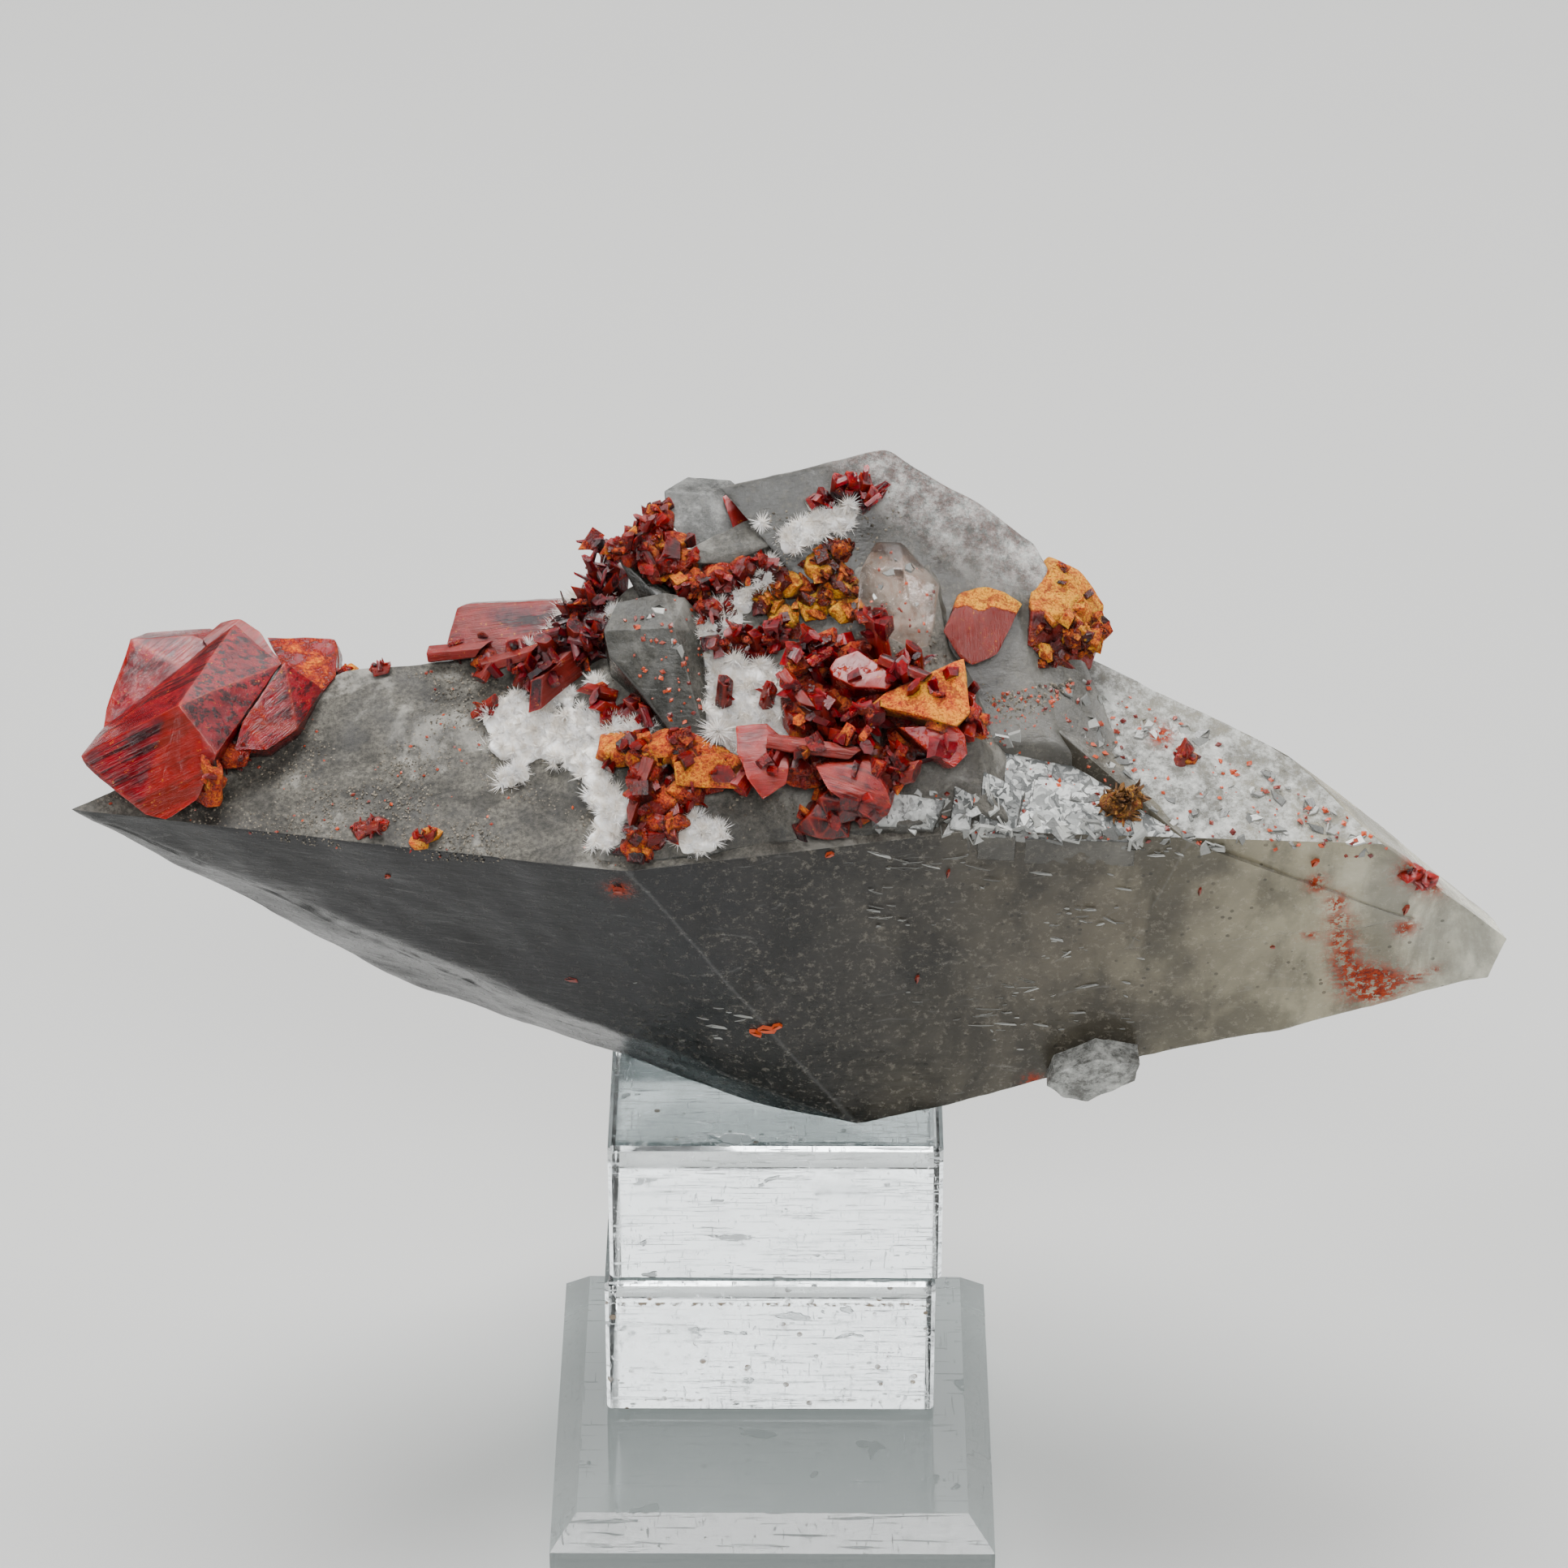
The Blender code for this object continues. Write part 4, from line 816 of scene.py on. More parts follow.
def realgar(name, dark, bright, powder_low, powder_high, lines=2.5, groove=0.06, gloss=0.12, glow=0.0):
    """Red crystal: depth colour by tone and clouds, striations, powder, worn rims, and painted shade that darkens
    its crevices.
    """
    made, tree, shader, place = begin(name)
    own = value_of(tree, "local", "Vector")
    tone = value_of(tree, "tone")
    stripes = place_group(tree, STRIATIONS, Own_Place=own, Lines=lines)
    coat = place_group(tree, POWDER, Place=place, Amount=value_of(tree, "powder"))
    rims = place_group(tree, WEAR, Place=place, Edge=value_of(tree, "edge"), From=0.3)
    clouds = noise(tree, place, 0.45, 5.0, 0.65, 0.5)
    depth = sums(tree, "ADD", spread(tree, clouds, 0.35, 0.65, -0.28, 0.28), tone, clamp=True)
    body = mix(tree, depth, dark, bright)
    grooves = sums(tree, "MULTIPLY", stripes["Lines"], value_of(tree, "grooves"))
    body = mix(tree, sums(tree, "MULTIPLY", grooves, 0.88), body, mix(tree, 0.5, dark, tint("#050001")))
    flaws = noise(tree, place, 1.3, 6.0, 0.75, 1.0)
    body = mix(tree, spread(tree, flaws, 0.60, 0.66, 0.0, 0.22), body, tint("#b01c10"))
    body = mix(tree, sums(tree, "MULTIPLY", rims["Mask"], 0.4), body, tint("#9a2412"))
    crumbs = sums(tree, "MULTIPLY", spread(tree, noise(tree, place, 3.2, 4.0, 0.8), 0.62, 0.66),
                  spread(tree, clouds, 0.45, 0.6))
    body = mix(tree, sums(tree, "MULTIPLY", crumbs, 0.6), body, powder_high)
    powder_colour = mix(tree, coat["Shade"], powder_low, powder_high)
    powder_colour = mix(tree, spread(tree, coat["Height"], 0.36, 0.56, 0.6, 0.0), powder_colour,
                        tint("#6e1a06"))
    streaks = noise(tree, place, 0.8, 6.0, 0.75, 0.8)
    powder_colour = mix(tree, spread(tree, streaks, 0.52, 0.60, 0.0, 0.75), powder_colour, tint("#7c1204"))
    colour = mix(tree, coat["Mask"], body, powder_colour)
    # Painted shade: near black where ambient occlusion finds other surfaces close by, in crevices and under
    # overhangs.
    painted_shade_occlusion = tree.nodes.new("ShaderNodeAmbientOcclusion")
    painted_shade_occlusion.samples = 6
    painted_shade_occlusion.inputs["Distance"].default_value = CREVICE_SHADE_REACH
    unshaded_share = spread(tree, painted_shade_occlusion.outputs["AO"], 0.15, 0.75, 0.12, 1.0)
    colour = mix(tree, unshaded_share, mix(tree, 0.15, tint("#0a0102"), colour), colour)
    grime = noise(tree, place, 1.6, 5.0, 0.7)
    smooth = sums(tree, "ADD", spread(tree, grime, 0.45, 0.8, gloss, gloss + 0.08),
                  sums(tree, "MULTIPLY", grooves, 0.08))
    rough = add(tree, "ShaderNodeMix", {"data_type": "FLOAT"}, i0=coat["Mask"], i2=smooth, i3=0.85).outputs[0]
    height = sums(tree, "MULTIPLY", stripes["Height"], sums(tree, "ADD", value_of(tree, "grooves"), 0.2))
    height = sums(tree, "ADD", height, sums(tree, "MULTIPLY",
                                            sums(tree, "MULTIPLY", coat["Height"], coat["Mask"]), 3.0))
    height = sums(tree, "ADD", height, sums(tree, "MULTIPLY", flaws, 0.4))
    finish(tree, shader, colour, rough, height, groove * 2.4, 0.85)
    shader.inputs["IOR"].default_value = 1.7
    shader.inputs["Specular IOR Level"].default_value = 0.27
    shader.inputs["Subsurface Weight"].default_value = glow
    shader.inputs["Subsurface Radius"].default_value = (1.0, 0.06, 0.03)
    shader.inputs["Subsurface Scale"].default_value = 0.0022
    return made


def quartz(name, stops, mottle=0.6, gloss=0.16, veil=0.4):
    """Smoky quartz: colour zones along X (for the main crystal partly painted glow where light shines through its
    pale right end), clouds, veils, frost, sand and rust.
    """
    made, tree, shader, place = begin(name)
    across = add(tree, "ShaderNodeSeparateXYZ", None, Vector=place)
    warp = noise(tree, place, 0.12, 5.0, 0.6)
    along = sums(tree, "ADD", across.outputs[0], sums(tree, "MULTIPLY", sums(tree, "SUBTRACT", warp, 0.5),
                                                      26.0))
    share = add(tree, "ShaderNodeMapRange", None, Value=along, From_Min=-62.0, From_Max=64.0).outputs[0]
    ramp = add(tree, "ShaderNodeValToRGB", None, Fac=share)
    while len(ramp.color_ramp.elements) < len(stops):
        ramp.color_ramp.elements.new(0.5)
    for element, (where, code) in zip(ramp.color_ramp.elements, stops):
        element.position, element.color = where, tint(code)
    body = ramp.outputs[0]
    bands = noise(tree, place, 0.16, 6.0, 0.62, 0.4, (1.0, 1.0, 0.45))
    body = mix(tree, spread(tree, bands, 0.40, 0.60, 0.0, mottle), body,
               mix(tree, 0.72, body, tint("#000000")))
    flecks = noise(tree, place, 1.4, 6.0, 0.78)
    flecked = sums(tree, "MULTIPLY", spread(tree, flecks, 0.50, 0.72),
                   spread(tree, share, 0.34, 0.52, 0.15, 1.0))
    body = mix(tree, sums(tree, "MULTIPLY", flecked, 0.75 * mottle), body,
               mix(tree, 0.45, body, tint("#b9b1a0")))
    veils = noise(tree, place, 0.5, 4.0, 0.7, 1.4, (0.35, 0.6, 1.2))
    body = mix(tree, spread(tree, veils, 0.6, 0.74, 0.0, veil), body, tint("#c9c8c4"))
    crumbs = place_group(tree, SPECKS, Place=place, Scale=0.9, Size=0.17)
    body = mix(tree, sums(tree, "MULTIPLY", crumbs["Mask"], 0.6), body, tint("#171513"))
    rims = place_group(tree, WEAR, Place=place, Edge=value_of(tree, "edge"), From=0.45)
    body = mix(tree, sums(tree, "MULTIPLY", rims["Mask"], 0.15), body, tint("#8c8c8a"))
    frost = value_of(tree, "frost")
    etched = noise(tree, place, 1.4, 6.0, 0.75)
    broad_etch = noise(tree, place, 0.45, 8.0, 0.8)
    frost_mask = sums(tree, "MULTIPLY", frost, spread(tree, broad_etch, 0.32, 0.6, 0.2, 1.0))
    pale = mix(tree, spread(tree, broad_etch, 0.36, 0.64), tint("#7c7e7c"), tint("#cfd0cb"))
    body = mix(tree, frost_mask, body, mix(tree, spread(tree, etched, 0.35, 0.7, 0.0, 0.45), pale,
                                           tint("#6c6e6c")))
    bent = add(tree, "ShaderNodeTexNoise", None, Vector=place, Scale=0.5, Detail=3.0)
    pushed = add(tree, "ShaderNodeVectorMath", {"operation": "MULTIPLY_ADD"}, i0=bent.outputs["Color"],
                 i1=(3, 3, 3), i2=place)
    cells = add(tree, "ShaderNodeTexVoronoi", {"feature": "F1"}, Vector=pushed.outputs[0], Scale=0.34)
    cracks = add(tree, "ShaderNodeTexVoronoi", {"feature": "DISTANCE_TO_EDGE"}, Vector=pushed.outputs[0],
                 Scale=0.34)
    broken = add(tree, "ShaderNodeTexVoronoi", {"feature": "F1"}, Vector=pushed.outputs[0], Scale=2.1)
    cell_tone = add(tree, "ShaderNodeSeparateColor", None, Color=cells.outputs["Color"]).outputs[0]
    small_tone = add(tree, "ShaderNodeSeparateColor", None, Color=broken.outputs["Color"]).outputs[0]
    shard = sums(tree, "ADD", sums(tree, "MULTIPLY", cell_tone, 0.45),
                 sums(tree, "MULTIPLY", small_tone, 0.55))
    shatter = value_of(tree, "shatter")
    body = mix(tree, shatter, body, mix(tree, spread(tree, shard, 0.25, 0.75), tint("#4e504f"),
                                        tint("#bfc1be")))
    gaps = sums(tree, "MULTIPLY", spread(tree, cracks.outputs["Distance"], 0.0, 0.035, 0.8, 0.0),
                spread(tree, flecks, 0.4, 0.55))
    body = mix(tree, sums(tree, "MULTIPLY", gaps, shatter), body, tint("#1d1c1a"))
    dust = value_of(tree, "dust")
    sand = noise(tree, place, 2.6, 5.0, 0.8)
    dust_mask = sums(tree, "MULTIPLY", dust, spread(tree, noise(tree, place, 0.25, 5.0), 0.3, 0.62, 0.45,
                                                    1.0))
    soil = mix(tree, spread(tree, sand, 0.34, 0.68), tint("#45433e"), tint("#7c786e"))
    broad = noise(tree, place, 0.14, 6.0, 0.68, 0.3)
    soil = mix(tree, spread(tree, broad, 0.50, 0.62, 0.0, 0.85), soil, mix(tree, 0.7, soil, tint("#1b1b1a")))
    soil = mix(tree, spread(tree, broad, 0.38, 0.48, 0.8, 0.0), soil, mix(tree, 0.6, soil, tint("#c8c5bb")))
    body = mix(tree, dust_mask, body, soil)
    rust = sums(tree, "MULTIPLY", value_of(tree, "rust"),
                spread(tree, noise(tree, place, 1.3, 6.0, 0.8), 0.45, 0.50))
    body = mix(tree, rust, body, mix(tree, spread(tree, sand, 0.4, 0.6), tint("#560502"), tint("#9c3206")))
    matt = sums(tree, "MAXIMUM", sums(tree, "MULTIPLY", dust_mask, 0.75),
                sums(tree, "MULTIPLY", frost_mask, 0.42))
    polish = spread(tree, flecks, 0.35, 0.75, gloss, gloss + 0.22)
    rough = sums(tree, "MAXIMUM", polish, sums(tree, "MAXIMUM", matt, sums(tree, "MULTIPLY", rust, 0.8)))
    steps = noise(tree, place, 0.7, 4.0, 0.6, 0.0, (0.5, 1.0, 2.2))
    height = sums(tree, "ADD", sums(tree, "MULTIPLY", steps, 0.5), sums(tree, "MULTIPLY", flecks, 0.25))
    height = sums(tree, "ADD", height, sums(tree, "MULTIPLY", sums(tree, "MULTIPLY", sand, dust_mask), 1.6))
    height = sums(tree, "ADD", height, sums(tree, "MULTIPLY", sums(tree, "MULTIPLY", etched, frost_mask),
                                            1.4))
    height = sums(tree, "ADD", height, sums(tree, "MULTIPLY", sums(tree, "MULTIPLY", shard, shatter), 3.0))
    finish(tree, shader, body, rough, height, 0.22, 0.7)
    shader.inputs["IOR"].default_value = QUARTZ_IOR
    shader.inputs["Specular IOR Level"].default_value = 0.3
    return made


def grains(name, low, high, rough=0.75, ior=1.5):
    """Loose bits whose colour runs from low to high by each one's tone."""
    made, tree, shader, place = begin(name)
    fine = noise(tree, place, 5.0, 3.0)
    share = sums(tree, "ADD", value_of(tree, "tone"),
                 sums(tree, "MULTIPLY", sums(tree, "SUBTRACT", fine, 0.5), 0.5), clamp=True)
    colour = mix(tree, share, tint(low), tint(high))
    finish(tree, shader, colour, rough, fine, 0.05, 0.5)
    shader.inputs["IOR"].default_value = ior
    return made


def needle_white(name, low, high):
    """White needles and mats: warm shadows between paler tufts."""
    made, tree, shader, place = begin(name)
    tufts = noise(tree, place, 1.1, 5.0, 0.7)
    strands = noise(tree, place, 7.0, 3.0, 0.7, 2.0)
    colour = mix(tree, spread(tree, tufts, 0.35, 0.65), tint(low), tint(high))
    colour = mix(tree, spread(tree, strands, 0.3, 0.5, 0.14, 0.0), colour, tint("#b8a48e"))
    finish(tree, shader, colour, 0.95, strands, 0.25, 0.45)
    shader.inputs["Specular IOR Level"].default_value = 0.1
    return made


def pass_light(tree, shader):
    """Let shadow rays through a clear piece, so that what lies beneath it is lit."""
    rays = tree.nodes.new("ShaderNodeLightPath")
    open_way = add(tree, "ShaderNodeBsdfTransparent", None, Color=tint("#e8ecec"))
    both = tree.nodes.new("ShaderNodeMixShader")
    tree.links.new(rays.outputs["Is Shadow Ray"], both.inputs[0])
    tree.links.new(shader.outputs[0], both.inputs[1])
    tree.links.new(open_way.outputs[0], both.inputs[2])
    tree.links.new(both.outputs[0], tree.nodes["Material Output"].inputs["Surface"])


def clear_quartz(name):
    """Clear quartz with faint pink smoke and etched faces."""
    made, tree, shader, place = begin(name)
    clouds = noise(tree, place, 0.6, 5.0, 0.7, 0.8)
    colour = mix(tree, spread(tree, clouds, 0.4, 0.65), tint("#f2dcd4"), tint("#c8927e"))
    etched = noise(tree, place, 1.1, 5.0, 0.7)
    finish(tree, shader, colour, spread(tree, etched, 0.4, 0.7, 0.02, 0.3), etched, 0.12, 0.6)
    shader.inputs["Transmission Weight"].default_value = 1.0
    shader.inputs["IOR"].default_value = QUARTZ_IOR
    pass_light(tree, shader)
    return made


def acrylic(name, low, high, dirt=0.0):
    """Clear acrylic between two heights (mm): hairline scratches, finger haze, dried glue
    on the level faces, and dirt specks under the top edge."""
    made, tree, shader, place = begin(name)
    lines = noise(tree, place, 0.5, 3.0, 0.6, 0.5, (0.25, 5.0, 5.0))
    cross = noise(tree, place, 0.5, 3.0, 0.6, 0.6, (6.0, 0.4, 3.0))
    hair = sums(tree, "MAXIMUM", spread(tree, lines, 0.62, 0.68), spread(tree, cross, 0.64, 0.70))
    film = spread(tree, noise(tree, place, 0.08, 5.0, 0.7), 0.45, 0.7, 0.0, 0.16)
    height = add(tree, "ShaderNodeSeparateXYZ", None, Vector=place).outputs[2]
    level = sums(tree, "MAXIMUM", sums(tree, "GREATER_THAN", height, high - 0.05),
                 sums(tree, "LESS_THAN", height, low + 0.05))
    glue = sums(tree, "MULTIPLY", level, spread(tree, noise(tree, place, 0.2, 3.0, 0.6, 0.3), 0.64, 0.67))
    specks = place_group(tree, SPECKS, Place=place, Scale=0.55, Size=0.16)["Mask"]
    ledge = sums(tree, "MULTIPLY", sums(tree, "GREATER_THAN", height, high - LEDGE_LOW),
                 sums(tree, "LESS_THAN", height, high - LEDGE_HIGH))
    dust = spread(tree, noise(tree, place, 1.2, 4.0), 0.45, 0.6)
    soil = sums(tree, "MULTIPLY", sums(tree, "MAXIMUM", specks, sums(tree, "MULTIPLY", ledge, dust)), dirt)
    rough = sums(tree, "ADD", sums(tree, "MULTIPLY", hair, 0.16), sums(tree, "ADD", film, 0.02))
    rough = sums(tree, "MAXIMUM", rough, sums(tree, "MULTIPLY", sums(tree, "MAXIMUM", glue, soil), 0.5))
    colour = mix(tree, film, tint("#d8dedf"), tint("#c2c8c9"))
    colour = mix(tree, sums(tree, "MULTIPLY", glue, 0.5), colour, tint("#b8bcbc"))
    colour = mix(tree, soil, colour, tint("#3a2c1e"))
    finish(tree, shader, colour, rough, sums(tree, "ADD", hair, sums(tree, "MULTIPLY", glue, 2.0)), 0.06, 0.5)
    shader.inputs["Transmission Weight"].default_value = 1.0
    shader.inputs["IOR"].default_value = 1.49
    pass_light(tree, shader)
    return made


# Crystal groups: corners as (across, down, depth) of the front view

def seen(px, py, lift=0.0):
    """Point on the big crystals' surface seen at (px, py), `lift` mm nearer the eye."""
    points, _, hit = ground([px], [py], QUARTZ)
    line = sights([px], [py])[0]
    if not hit[0]:
        return at(px, py, CREST_BACK + (CREST_ROW - py) * CREST_LEAN) - line * lift
    return points[0] - line * lift


def corners_at(rows):
    """Points at given depths, one for each (px, py, back)."""
    return [at(*row) for row in rows]


def corners_on(rows):
    """Points over the ground, one for each (px, py, lift)."""
    return [seen(*row) for row in rows]


def lump(centre, radius, flat=0.7, seed=0, tone=0.5, powder=0.4):
    """Knobbly closed lump: a twelve-cornered ball whose corners stand out unevenly."""
    chance = random.Random(seed)
    ball = bmesh.new()
    bmesh.ops.create_icosphere(ball, subdivisions=1, radius=1.0)
    points = [centre + np.array([vert.co.x, vert.co.y, vert.co.z * flat]) * (radius * chance.uniform(0.8,
                                                                                                     1.15))
              for vert in ball.verts]
    ball.free()
    return Body(hull(points), None, centre, tone, powder, 0.1)


def surface_points(planes, count, chance, lean=(0, -0.5, 0.5)):
    """Random points of a convex body's surface: rays from its middle, drawn toward
    `lean`, end at the nearest plane."""
    normals = np.array([p[0] for p in planes])
    offsets = np.array([p[1] for p in planes])
    middle = np.concatenate([loop for _, loop in corner_loops(planes)]).mean(0)
    directions = unit(chance.normal(size=(count, 3)) + np.array(lean))
    slope = directions @ normals.T
    reach = np.where(slope > 1e-6, (offsets - normals @ middle) / np.maximum(slope, 1e-6), 1e9)
    return middle + directions * reach.min(1)[:, None], normals[reach.argmin(1)]


PRISM_SHAPE = prism_template()
SHARD_SHAPE = shard_template()
CONE_SHAPE = cone_template()
GRAIN_SHAPE = grain_template()
FLAKE_SHAPE = flake_template()
SLIVER_SHAPE = sliver_template()


def sprigs(shape, points, outward, chance, length=(0.9, 2.0), width=(0.8, 1.6), tone=(0.1, 0.8),
           powder=(0.0, 0.32),
           spread_out=0.45, sunk=0.5):
    """Small columns that stand on a surface, leaning at random."""
    count = len(points)
    along = unit(outward + spread_out * chance.normal(size=(count, 3)))
    frames = frames_along(along, chance)
    wide = width[0] * (width[1] / width[0]) ** (chance.uniform(0, 1, count) ** 1.6 * 1.25)
    sizes = np.stack([wide, wide * chance.uniform(0.25, 0.9, count), chance.uniform(*length, count)], 1)
    places = points - along * (sizes[:, 2:] * sunk)
    looks = dict(tone=chance.uniform(*tone, count), powder=chance.uniform(*powder, count),
                 grooves=chance.uniform(0.1, 0.9, count))
    broken = chance.uniform(0, 1, count) < 0.55
    for template, which in ((PRISM_SHAPE, ~broken), (SHARD_SHAPE, broken)):
        if which.any():
            repeat(shape, *template, places[which], frames[which], sizes[which],
                   **{name: value[which] for name, value in looks.items()})


def bits(shape, points, outward, chance, size=(0.15, 0.5), tone=(0.0, 1.0), template=GRAIN_SHAPE, flat=0.7,
         lift=0.2,
         lean=0.35):
    """Loose grains or chips lying on a surface."""
    count = len(points)
    frames = frames_along(unit(outward + lean * chance.normal(size=(count, 3))), chance)
    wide = chance.uniform(*size, count) ** 1.0
    sizes = np.stack([wide, wide * chance.uniform(0.6, 1.0, count),
                      wide * flat * chance.uniform(0.6, 1.0, count)], 1)
    repeat(shape, *template, points + outward * sizes[:, 2:] * lift, frames, sizes,
           tone=chance.uniform(*tone, count), powder=0.0, grooves=0.0)


def left_group():
    """Big glassy crystals on the left tip."""
    tall = corners_at([(98, 931, 0.6), (105, 945, 0.2), (172, 897, 0.6), (219, 869, 0.8), (267, 929, -1.6),
                       (243, 986, -3.4), (204, 1010, -3.9), (179, 1004, -3.4), (127, 897, 5.2),
                       (264, 800, 11),
                       (289, 768, 13.5), (346, 818, 9), (300, 888, 4), (204, 990, 3), (150, 930, 9),
                       (300, 860, 16)])
    plate = corners_at([(160, 787, 13), (237, 782, 13.4), (264, 793, 12.6), (228, 822, 10), (127, 899, 5.6),
                        (130, 874, 7.4), (142, 839, 9.6)])
    wedge = corners_at([(249, 787, 12.6), (272, 767, 14.4), (290, 762, 14.6), (297, 762, 14.4),
                        (319, 777, 13),
                        (347, 818, 9.6), (300, 860, 6)])
    prow = corners_at([(351, 816, 8.6), (299, 888, 2.6), (289, 924, 0.8), (329, 924, 1.2), (366, 899, 3.6),
                       (398, 849, 8.8), (391, 845, 9.0)])
    rear = corners_at([(329, 785, 15), (376, 785, 15.4), (379, 792, 14.6), (413, 787, 15), (417, 798, 14.4),
                       (413, 834, 10.8), (398, 852, 9.2), (352, 830, 10)])
    side = corners_at([(408, 832, 12), (420, 838, 11), (437, 836, 11), (443, 822, 12.4), (432, 815, 13.5),
                       (415, 845, 13), (440, 845, 14)])
    grain = (at(98, 931, 0.6), at(289, 768, 13.5))
    long_edge = (at(98, 931, 0.6), at(219, 869, 0.8))
    return [
        block(tall, None, long_edge).look(0.55, 0.10, 1.0),
        block(plate, (1.2, 3.2, -1.2), grain).look(0.6, 0.04, 0.7),
        block(wedge, (0, 3.5, -3.5), grain).look(0.55, 0.12, 1.0),
        block(prow, (0, 3.5, -3), grain).look(0.55, 0.16, 0.9),
        block(rear, (0, 3.4, -3), grain).look(0.7, 0.28, 0.7),
        prism(at(258, 985, -1.4), at(262, 940, -1.8), 2.4, 2.4, 20).look(0.6, 0.35, 0.4),
        lump(at(285, 930, 1.4), 1.9, 0.7, 3, 0.5, 0.3),
        lump(at(262, 965, -0.8), 1.5, 0.7, 4, 0.5, 0.4),
        block(side).look(0.6, 0.5, 0.2),
    ]


def back_group():
    """Long grooved crystal lying along the crest, with short ones before it."""
    long_face = corners_at([(549, 798, 12.6), (563, 749, 15.4), (575, 744, 15.8), (713, 738, 15.6),
                            (717, 762, 14),
                            (655, 801, 11.4), (599, 812, 11.2)])
    return [
        block(long_face, (0, 5.5, -3), (at(549, 770, 14), at(713, 752, 15))).look(0.45, 0.0, 1.0),
        prism(at(530, 806, 12.0), at(597, 800, 11.2), 1.6, 2.2, 15).look(0.4, 0.1, 0.6),
        prism(at(594, 822, 9.6), at(660, 803, 9.4), 1.5, 1.8, 10).look(0.25, 0.0, 0.6),
        prism(at(590, 838, 8.4), at(604, 816, 9.6), 1.4, 1.8, 25).look(0.35, 0.1, 0.4),
        lump(at(600, 812, 11.0), 1.6, 0.8, 9, 0.3, 0.3),
        lump(at(640, 804, 10.8), 1.7, 0.8, 10, 0.3, 0.2),
    ]


def columns(rows, tone=0.4, powder=0.0, grooves=0.7):
    """Columns given by foot and tip on the ground, width, thickness, roll, slant and sides."""
    made = []
    for number, (foot, tip, width, thick, *rest) in enumerate(rows):
        shade = tone + 0.3 * ((number * 0.618) % 1 - 0.5)
        made.append(prism(seen(*foot), seen(*tip), width, thick, *rest).look(shade, powder, grooves))
    return made


def lumps(rows, first_seed=None, tone=0.45, powder=0.4):
    """Knobs given by their place on the ground, radius, flatness and seed."""
    return [lump(seen(*place), radius, flat, seed, tone, powder) for place, radius, flat, seed in rows]


def spiky_group():
    """Dark crystals standing out in all directions left of the smoky prism."""
    return lumps([((740, 760, -0.6), 3.0, 0.8, 11), ((700, 790, -0.4), 2.6, 0.8, 12),
                  ((668, 815, -0.4), 2.2, 0.7, 13),
                  ((748, 715, -0.8), 2.4, 0.8, 14), ((712, 806, 0.0), 2.4, 0.8, 15),
                  ((726, 775, 0.4), 2.4, 0.8, 16)],
                 tone=0.3, powder=0.1) + columns([
        ((738, 735, 0.0), (732, 697, 3.2), 1.5, 1.3, 20), ((732, 748, 0.0), (758, 716, 3.8), 1.0, 1.1, 0),
        ((735, 760, 0.0), (714, 724, 3.2), 1.0, 1.2, 40), ((732, 765, 0.0), (727, 726, 4.2), 0.9, 1.0, 10),
        ((720, 775, 0.3), (694, 744, 2.8), 1.1, 1.0, 30), ((722, 760, 0.5), (704, 742, 3.4), 0.9, 0.8, 60),
        ((750, 720, 0.4), (756, 692, 3.0), 1.2, 1.2, 30), ((712, 804, 0.4), (710, 771, 3.8), 2.0, 1.7, 15),
        ((690, 812, 0.4), (668, 786, 3.4), 1.6, 1.4, 25), ((728, 800, 0.0), (738, 772, 2.8), 1.0, 1.0, 45),
        ((724, 812, 0.0), (722, 788, 3.4), 1.0, 1.0, 20), ((640, 842, 0.4), (655, 816, 3.0), 1.2, 1.2, 10),
        ((708, 815, 1.4), (660, 856, 4.0), 2.6, 1.0, -30, 0.35, 4),
        ((700, 825, 0.4), (676, 812, 3.2), 1.2, 1.2, 50),
        ((750, 690, 0.2), (738, 664, 2.6), 1.0, 1.0, 15)], 0.35, 0.0, 0.8)


def left_chips():
    """Single sharp crystals on the white crust left of the smoky prism."""
    return columns([
        ((760, 858, 0.2), (717, 846, 3.0), 1.3, 1.2, 30), ((765, 882, 0.0), (735, 868, 2.8), 1.2, 1.1, 10),
        ((790, 880, 0.0), (778, 862, 2.6), 1.1, 1.1, 25), ((800, 893, 0.0), (795, 868, 2.2), 1.0, 1.0, 55),
    ], 0.4) + lumps([((778, 878, -0.8), 2.4, 0.6, 17), ((750, 868, -0.8), 2.3, 0.7, 18),
                     ((790, 884, -0.6), 1.8, 0.7, 19)], tone=0.4, powder=0.2)


RIDGE_KNOBS = [(812, 640, 1.7), (803, 662, 2.0), (822, 672, 2.1), (782, 676, 1.9), (835, 697, 2.0),
               (812, 700, 1.9),
               (849, 722, 1.5), (764, 674, 1.3)]


def orange_ridge():
    """Crumbly orange-red ridge between the smoky prism and the pale blade."""
    knobs = [lump(at(px, py, 13.2 - (py - 640) * 0.065), size, 0.8, 20 + number, 0.6, 0.3)
             for number, (px, py, size) in enumerate(RIDGE_KNOBS)]
    return knobs + [prism(at(808, 655, 12.0), at(800, 640, 11.2), 1.0, 1.0, 20).look(0.6, 0.2, 0.5),
                    prism(at(790, 680, 10.2), at(779, 664, 9.6), 1.2, 1.2, 35).look(0.6, 0.2, 0.5)]


